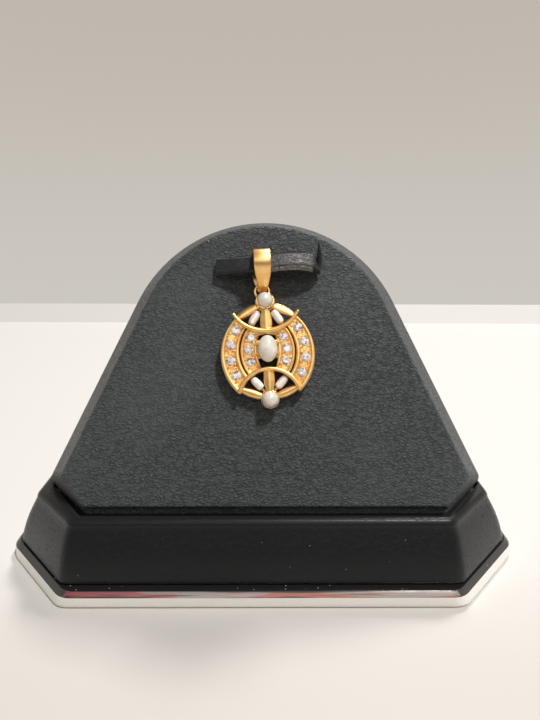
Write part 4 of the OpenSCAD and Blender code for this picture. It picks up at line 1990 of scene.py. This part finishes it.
@dataclass
class Fans:
    """The gold leaves, their stems, the cups, the pearl rest and the eye.

    Attributes:
        rest: Half length, half width and thickness of the oval pearl's rest.
        cup_top: Height of the cups' rims.
        pearl_z: Height of the round pearls' centres.
        cup_claws: Angles of a cup's claws in degrees.
        rest_claws: Places of the oval pearl's claws on the right, x and y.
        collar_top: Height of the collar beside the oval pearl.
        collar_turn: How far the collar goes round the pearl to either side, in degrees.
        eye_centre: Centre of the eye.
        eye: Radius of the eye's middle line and of its wire.
        side_leaves: The gold leaves at the sides.
        centre_leaves: The ribbed gold leaves in the middle.
    """

    rest: Triple = (2.4, 1.1, 0.5)
    cup_top: float = 1.4
    pearl_z: float = 1.6
    cup_claws: tuple[float, ...] = (45, 135, 215, 325)
    rest_claws: tuple[tuple[float, float], ...] = ((2.0, -0.95), (2.0, 0.95))
    collar_top: float = 1.18
    collar_turn: float = 43.0
    eye_centre: Vector = Vector((0, 9.67, -0.43))
    eye: tuple[float, float] = (0.5, 0.15)
    side_leaves: tuple[Leaf, Leaf] = (
        Leaf((5.3, 5.45), (0.6, 7.95), 0.42, 1.15, (0.0, 0.93), top=1.45, drop=0.45, blunt=0.16, full=0.42),
        Leaf((5.35, -6.75), (0.6, -8.6), 0.9, 0.66, (0.0, 0.9), top=1.45, drop=0.45, blunt=0.14, full=0.45),
    )
    centre_leaves: tuple[Leaf, Leaf] = (
        Leaf((0, 2.9), (0, 8.1), 1.04, 1.04, (0.06, 0.9), top=1.5, ribs=2, taper=0.3),
        Leaf((0, -2.9), (0, -8.3), 0.98, 0.98, (0.06, 0.9), top=1.5, ribs=2, taper=0.22),
    )

    def stem(self, leaf: Leaf, side: Side) -> Form:
        """Builds the thin stem that carries a white leaf.

        Args:
            leaf: The white leaf.
            side: The half of the pendant.

        Returns:
            The stem.
        """
        p, q = Vector((*leaf.outer, 0)), Vector((*leaf.inner, 0))
        ahead = (q - p).normalized()
        beside = Vector((-ahead.y, ahead.x, 0))
        rings = []
        section = [(-0.25, 0.02), (0.25, 0.02), (0.25, 0.2), (0.15, 0.28), (-0.15, 0.28), (-0.25, 0.2)]
        for place in (p - ahead * 0.5, (p + q) / 2, q + ahead * 0.6):
            rings.append([on_side(side, place + beside * across, z) for across, z in section])
        return loft(rings)

    def cup(self, cup: Cup) -> Form:
        """Turns a cup and hollows it for its pearl.

        Args:
            cup: The cup's sizes.

        Returns:
            The cup.
        """
        r, low, top = cup.radius, cup.low, self.cup_top
        hollow = cup.pearl_r + 0.05
        inside = math.sqrt(hollow**2 - (self.pearl_z - top) ** 2)
        outer = [
            (0.55 * r, low), (0.7 * r, low + 0.1), (0.86 * r, low + 0.5), (r - 0.1, top - 0.45),
            (r, top - 0.16), (r - 0.02, top - 0.05), (r - 0.07, top),
        ]
        inner = [(inside + 0.01, top), (inside - 0.02, top - 0.1)]
        for k in range(1, 8):
            z = top - 0.1 - k * 0.13
            across = hollow**2 - (self.pearl_z - z) ** 2
            if across > 0.04:
                inner.append((math.sqrt(across), z))
        turns = [math.tau * k / 40 for k in range(40)]
        rings = []
        for y, rows in ((cup.y, outer), (cup.pearl_y, inner)):
            rings += [[r * heading(a) + Vector((0, y, z)) for a in turns] for r, z in rows]
        return loft(rings)

    def collar(self, side: Side) -> Form:
        """Builds the low wall that fills the gap between the oval pearl and its inner band.

        Args:
            side: The half of the pendant.

        Returns:
            The wall.
        """
        wide, long = Pearls.oval
        arc = Bands.opening
        rings = []
        for k in range(21):
            a = arc_angle(k, 20, -self.collar_turn, self.collar_turn)
            top = self.collar_top - (0.1 if k in (0, 20) else 0.0)
            near = 0.975 * wide * math.cos(a)
            y = long * math.sin(a)
            far = arc.x + math.sqrt(arc.r**2 - (y - arc.y) ** 2) + 0.06
            rows = [
                (near, 0.3), (near, top - 0.05), (near + 0.05, top),
                (far - 0.02, top), (far, top - 0.04), (far, 0.3),
            ]
            rings.append([Vector((side.value * x, y, z)) for x, z in rows])
        return loft(rings)

    def claw(self, foot: Vector, towards: Vector, height: float, thick: float, bend: float) -> Form:
        """Builds a claw that bends over its pearl.

        Args:
            foot: Where it stands.
            towards: Direction to the pearl, flat.
            height: Its height.
            thick: Its radius at the foot.
            bend: How far its tip leans over.

        Returns:
            The claw.
        """
        rings = []
        for k in range(9):
            t = k / 8
            past = max(0.0, t - 0.8) / 0.2
            r = thick * (1 - 0.25 * t) * math.sqrt(max(0.03, 1 - past**2))
            middle = foot + towards * (bend * t**2.2) + Vector((0, 0, height * t))
            rings.append([middle + r * heading(math.tau * i / 10) for i in range(10)])
        return loft(rings)

    def pearl_rest(self) -> Form:
        """Builds the plate that the oval pearl rests on.

        Returns:
            The plate.
        """
        half_l, half_w, thick = self.rest
        rings = []
        for x, inset in ((-half_l, 0.06), (0.06 - half_l, 0.0), (half_l - 0.06, 0.0), (half_l, 0.06)):
            w, t = half_w - inset, thick - inset
            section = [(-w, 0.02), (w, 0.02), (w, t - 0.06), (w - 0.08, t), (-w + 0.08, t), (-w, t - 0.06)]
            rings.append([Vector((x, y, z)) for y, z in section])
        return loft(rings)

    def build(self, wardrobe: Wardrobe, cups: Sequence[Cup], white: Sequence[Leaf]) -> None:
        """Builds the gold of both fans.

        Args:
            wardrobe: The finishes.
            cups: The cups.
            white: The white leaves, which the stems carry.
        """
        leaves = [leaf.form(side) for side in Side for leaf in self.side_leaves]
        leaves += [leaf.form(Side.RIGHT) for leaf in self.centre_leaves]
        leaves += [self.stem(leaf, side) for side in Side for leaf in white]
        settle_gold(leaves, "gold_leaves", [wardrobe.satin_gold], 60.0)
        forms = []
        for cup in cups:
            forms.append(self.cup(cup))
            for angle in self.cup_claws:
                out = heading(math.radians(angle))
                foot = Vector((0, cup.y, self.cup_top - 0.35)) + out * (cup.radius - 0.12)
                forms.append(self.claw(foot, -out, 1.0, 0.31, 0.34))
        for side in Side:
            for x, y in self.rest_claws:
                out = Vector((side.value * x, y * 0.45, 0)).normalized()
                forms.append(self.claw(Vector((side.value * x, y, 0.3)), -out, 2.0, 0.32, 0.42))
        forms.append(self.pearl_rest())
        forms += [self.collar(side) for side in Side]
        bpy.ops.mesh.primitive_torus_add(
            major_radius=self.eye[0], minor_radius=self.eye[1], major_segments=36, minor_segments=12
        )
        eye = bpy.context.object
        eye.data.transform(Matrix.Translation(self.eye_centre) @ Matrix.Rotation(math.pi / 2, 4, "Y"))
        forms.append(eye)
        settle_gold(forms, "gold_cups_and_claws", [wardrobe.polished_gold], 60.0)


# The upper and the lower white leaf of the right half, which the left half mirrors
WHITE_LEAVES = (
    Leaf((3.09, 4.16), (0.97, 7.44), 0.72, 0.72, (0.11, 0.87), low=0.33, top=1.4, blunt=0.14),
    Leaf((3.3, -4.72), (0.95, -7.33), 0.72, 0.72, (0.1, 0.88), low=0.33, top=1.4, blunt=0.14),
)


@dataclass
class Pearls:
    """The two round pearls and the oval one.

    Attributes:
        top_y: Place of the upper pearl along the pendant.
        bottom_y: Place of the lower one.
        top_r: Radius of the upper pearl.
        bottom_r: Radius of the lower one.
        oval: Radii of the oval pearl across and along the pendant.
        round_z: Height of the round pearls' centres.
        oval_z: Height of the oval pearl's centre.
        oval_foot: Height of the flat that the oval pearl rests on.
    """

    top_y: float = 8.86
    bottom_y: float = -8.95
    top_r: float = 1.38
    bottom_r: float = 1.46
    oval: tuple[float, float] = (1.73, 2.42)
    round_z: float = 1.6
    oval_z: float = 1.75
    oval_foot: float = 0.56

    def pearl(self, centre: Vector, radii: Vector, seed: float) -> Form:
        """Shapes a pearl that is nearly, but not quite, true.

        Args:
            centre: Its centre.
            radii: Its radii.
            seed: Moves its irregularity.

        Returns:
            The pearl.
        """
        deselect()
        bpy.ops.mesh.primitive_ico_sphere_add(subdivisions=5, radius=1)
        form = bpy.context.object
        for corner in form.data.vertices:
            way = corner.co.normalized()
            uneven = noise.noise(way * 1.3 + Vector((seed, 0, 0)))
            corner.co = way * (1 - 0.012 - 0.014 * uneven)
        form.data.transform(Matrix.Translation(centre) @ Matrix.Diagonal((*radii, 1)))
        return form

    def build(self, wardrobe: Wardrobe) -> None:
        """Builds the pearls.

        Args:
            wardrobe: The finishes.
        """
        z, (wide, long) = self.round_z, self.oval
        rows = [
            ("top_pearl", Vector((0, self.top_y, z)), Vector((self.top_r,) * 3), 1.7),
            ("bottom_pearl", Vector((0, self.bottom_y, z)), Vector((self.bottom_r,) * 3), 5.1),
            ("centre_pearl", Vector((0, 0, self.oval_z)), Vector((wide, long, wide)), 9.4),
        ]
        for name, centre, radii, seed in rows:
            form = self.pearl(centre, radii, seed)
            if name == "centre_pearl":
                self.flatten_foot(form)
            settle(form, f"nacre_{name}", ON_PENDANT, [wardrobe.nacre], [name], 60.0)

    def flatten_foot(self, form: Form) -> None:
        """Cuts the flat that the oval pearl rests on.

        Args:
            form: The pearl.
        """
        edit(form)
        foot = (0, 0, self.oval_foot)
        bpy.ops.mesh.bisect(plane_co=foot, plane_no=(0, 0, -1), use_fill=True, clear_outer=True)
        bpy.ops.object.mode_set(mode="OBJECT")


@dataclass(frozen=True)
class Lamp:
    """A soft rectangular lamp that points at the pendant.

    Attributes:
        name: Its name.
        place: Its place in millimetres.
        size: Its width and height in millimetres.
        watts: Its power.
        colour: Its colour.
    """

    name: str
    place: tuple[float, float, float]
    size: tuple[float, float]
    watts: float
    colour: Colour

    def hang(self) -> None:
        """Hangs the lamp."""
        data = bpy.data.lights.new(self.name, "AREA")
        data.shape = "RECTANGLE"
        data.size, data.size_y = (length * MM for length in self.size)
        data.energy, data.color = self.watts, self.colour
        lamp = bpy.data.objects.new(self.name, data)
        place = Vector(self.place)
        lamp.location = place * MM
        lamp.rotation_mode = "QUATERNION"
        lamp.rotation_quaternion = (Vector((0, 0, 40)) - place).to_track_quat("-Z", "Y")
        bpy.context.scene.collection.objects.link(lamp)


@dataclass
class Studio:
    """Camera, floor and soft light.

    Attributes:
        eye: The camera's place in millimetres.
        pitch: How far it looks down, in degrees.
        yaw: Turn to the right in degrees.
        roll: Roll in degrees.
        lens: Focal length in millimetres.
        floor_size: Width and depth of the floor in metres.
        floor_middle: How far in front of the stand its middle lies, in metres.
        floor_turn: Its turn in degrees.
        floor_lip: Depth and height of the low slope behind it, in metres.
        lamps: The lamps.
    """

    eye: Vector = Vector((1.096, -94.15, 64.6))
    pitch: float = 17.0
    yaw: float = 0.17
    roll: float = 0.02
    lens: float = 26.2
    floor_size: tuple[float, float] = (3.0, 1.1866)
    floor_middle: float = 0.4067
    floor_turn: float = -0.9
    floor_lip: float = 0.0088
    lamps: tuple[Lamp, ...] = (
        Lamp("front_lamp", (322, -257, 951), (90, 80), 9.6, (1.0, 0.98, 0.95)),
        Lamp("back_lamp", (250, 640, 1040), (230, 160), 12.0, (1.0, 0.97, 0.94)),
    )

    def camera(self) -> None:
        """Sets up the camera."""
        p, y, r = (math.radians(a) for a in (self.pitch, self.yaw, self.roll))
        ahead = Vector((math.sin(y) * math.cos(p), math.cos(y) * math.cos(p), -math.sin(p)))
        right = Vector((math.cos(y), -math.sin(y), 0))
        up = right.cross(ahead)
        right, up = math.cos(r) * right + math.sin(r) * up, -math.sin(r) * right + math.cos(r) * up
        data = bpy.data.cameras.new("camera")
        data.lens, data.sensor_width, data.clip_start = self.lens, 36.0, 0.005
        camera = bpy.data.objects.new("camera", data)
        turn = Matrix((right, up, -ahead)).transposed().to_4x4()
        camera.matrix_world = Matrix.Translation(self.eye * MM) @ turn
        bpy.context.scene.collection.objects.link(camera)
        bpy.context.scene.camera = camera

    def floor(self) -> None:
        """Lays the pale floor, which ends behind the stand in a low slope; its colour is painted darker in
        front and lighter behind, as painted falloff of light.
        """
        deselect()
        bpy.ops.mesh.primitive_plane_add(size=1)
        sheet = bpy.context.object
        sheet.name = "floor"
        turn = Matrix.Rotation(math.radians(self.floor_turn), 4, "Z")
        size = Matrix.Diagonal((*self.floor_size, 1, 1))
        sheet.data.transform(turn @ Matrix.Translation((0, -self.floor_middle, 0)) @ size)
        edit(sheet, "DESELECT")
        shape = bmesh.from_edit_mesh(sheet.data)
        for edge in shape.edges:
            if all(v.co.y > 0.1 for v in edge.verts):
                edge.select = True
        bmesh.update_edit_mesh(sheet.data)
        lip = (0, self.floor_lip, self.floor_lip)
        bpy.ops.mesh.extrude_region_move(TRANSFORM_OT_translate={"value": lip})
        bpy.ops.object.mode_set(mode="OBJECT")
        finish, lay, shader = new_finish("plain_floor")
        place = lay.place()
        depth = lay.add("ShaderNodeSeparateXYZ", {0: place})["Y"]
        # Painted light: the floor's colour runs from darker in front of the stand to lighter behind it, where
        # more light falls.
        away = lay.blend(lay.span(depth, -0.045, 0.0), (0.448, 0.424, 0.400), (0.545, 0.534, 0.516))
        cloud = lay.span(lay.noise(place, 8.0, 2.0), 0.3, 0.7, 0.0, 0.3)
        lay.fill(shader, {
            "Base Color": lay.blend(cloud, away, (0.53, 0.51, 0.49)),
            "Roughness": 0.6,
            "Specular IOR Level": 0.3,
        })
        sheet.data.materials.append(finish)

    def build(self) -> None:
        """Sets up the whole studio."""
        self.camera()
        self.floor()
        for lamp in self.lamps:
            lamp.hang()
        self.room_light()
        bpy.context.scene.view_settings.view_transform = "Standard"

    def room_light(self) -> None:
        """Lights the scene from a pale room, brighter high in front and darker low in front.

        The camera itself sees the plain wall all round.
        """
        world = bpy.data.worlds.new("soft_room")
        world.use_nodes = True
        lay = Layout(world.node_tree)
        way = lay.add("ShaderNodeTexCoord", {})["Generated"]
        parts = lay.add("ShaderNodeSeparateXYZ", {0: way})
        front = lay.maths("MULTIPLY", parts["Y"], -1.0)
        rise = parts["Z"]
        wall = lay.blend(lay.span(rise, -0.22, 0.34), (0.605, 0.580, 0.530), (0.525, 0.475, 0.425))
        ceiling = lay.blend(lay.span(rise, 0.45, 0.75), wall, (0.12, 0.12, 0.125))
        low_front = lay.maths("MULTIPLY", lay.span(front, 0.35, 0.7), lay.span(rise, 0.3, 0.42, 1.0, 0.0))
        room = lay.blend(low_front, ceiling, (0.045, 0.047, 0.05))
        high = lay.maths("MULTIPLY", lay.span(rise, 0.42, 0.56), lay.span(rise, 0.72, 0.88, 1.0, 0.0))
        aside = lay.maths("ABSOLUTE", lay.maths("ADD", parts["X"], -0.08))
        wide = lay.maths("MULTIPLY", lay.span(front, 0.42, 0.56), lay.span(aside, 0.26, 0.44, 1.0, 0.0))
        lit = lay.blend(lay.maths("MULTIPLY", wide, high), room, (1.75, 1.70, 1.62))
        seen = lay.add("ShaderNodeLightPath", {})["Is Camera Ray"]
        lay.fill(world.node_tree.nodes["Background"], {"Color": lay.blend(seen, lit, wall), "Strength": 1.0})
        bpy.context.scene.world = world


def main() -> None:
    """Builds the studio and every piece in order."""
    logging.basicConfig(level=logging.INFO, format="%(name)s: %(message)s")
    Studio().build()
    wardrobe = Wardrobe()
    Plate().build(wardrobe)
    panel = Panel()
    Block().build(wardrobe, panel)
    panel.build(wardrobe)
    Strap().build(wardrobe)
    Bail().build(wardrobe)
    JumpRing().build(wardrobe)
    pearls = Pearls()
    pearls.build(wardrobe)
    grains = Stones().build(wardrobe)
    Bands().build(wardrobe, grains)
    Bars().build(wardrobe)
    cups = [
        Cup(8.56, 1.78, -0.1, pearls.top_r, pearls.top_y),
        Cup(-8.93, 1.64, -0.6, pearls.bottom_r, pearls.bottom_y),
    ]
    Fans().build(wardrobe, cups, WHITE_LEAVES)
    for level, leaf in zip(Level, WHITE_LEAVES):
        for side in Side:
            name = f"white_leaf_{level.name.lower()}_{side.name.lower()}"
            finishes = [wardrobe.white_metal]
            settle(leaf.form(side), f"frosted_{name}", ON_PENDANT, finishes, [name], 60.0)
    bpy.context.view_layer.update()


if __name__ == "__main__":
    main()
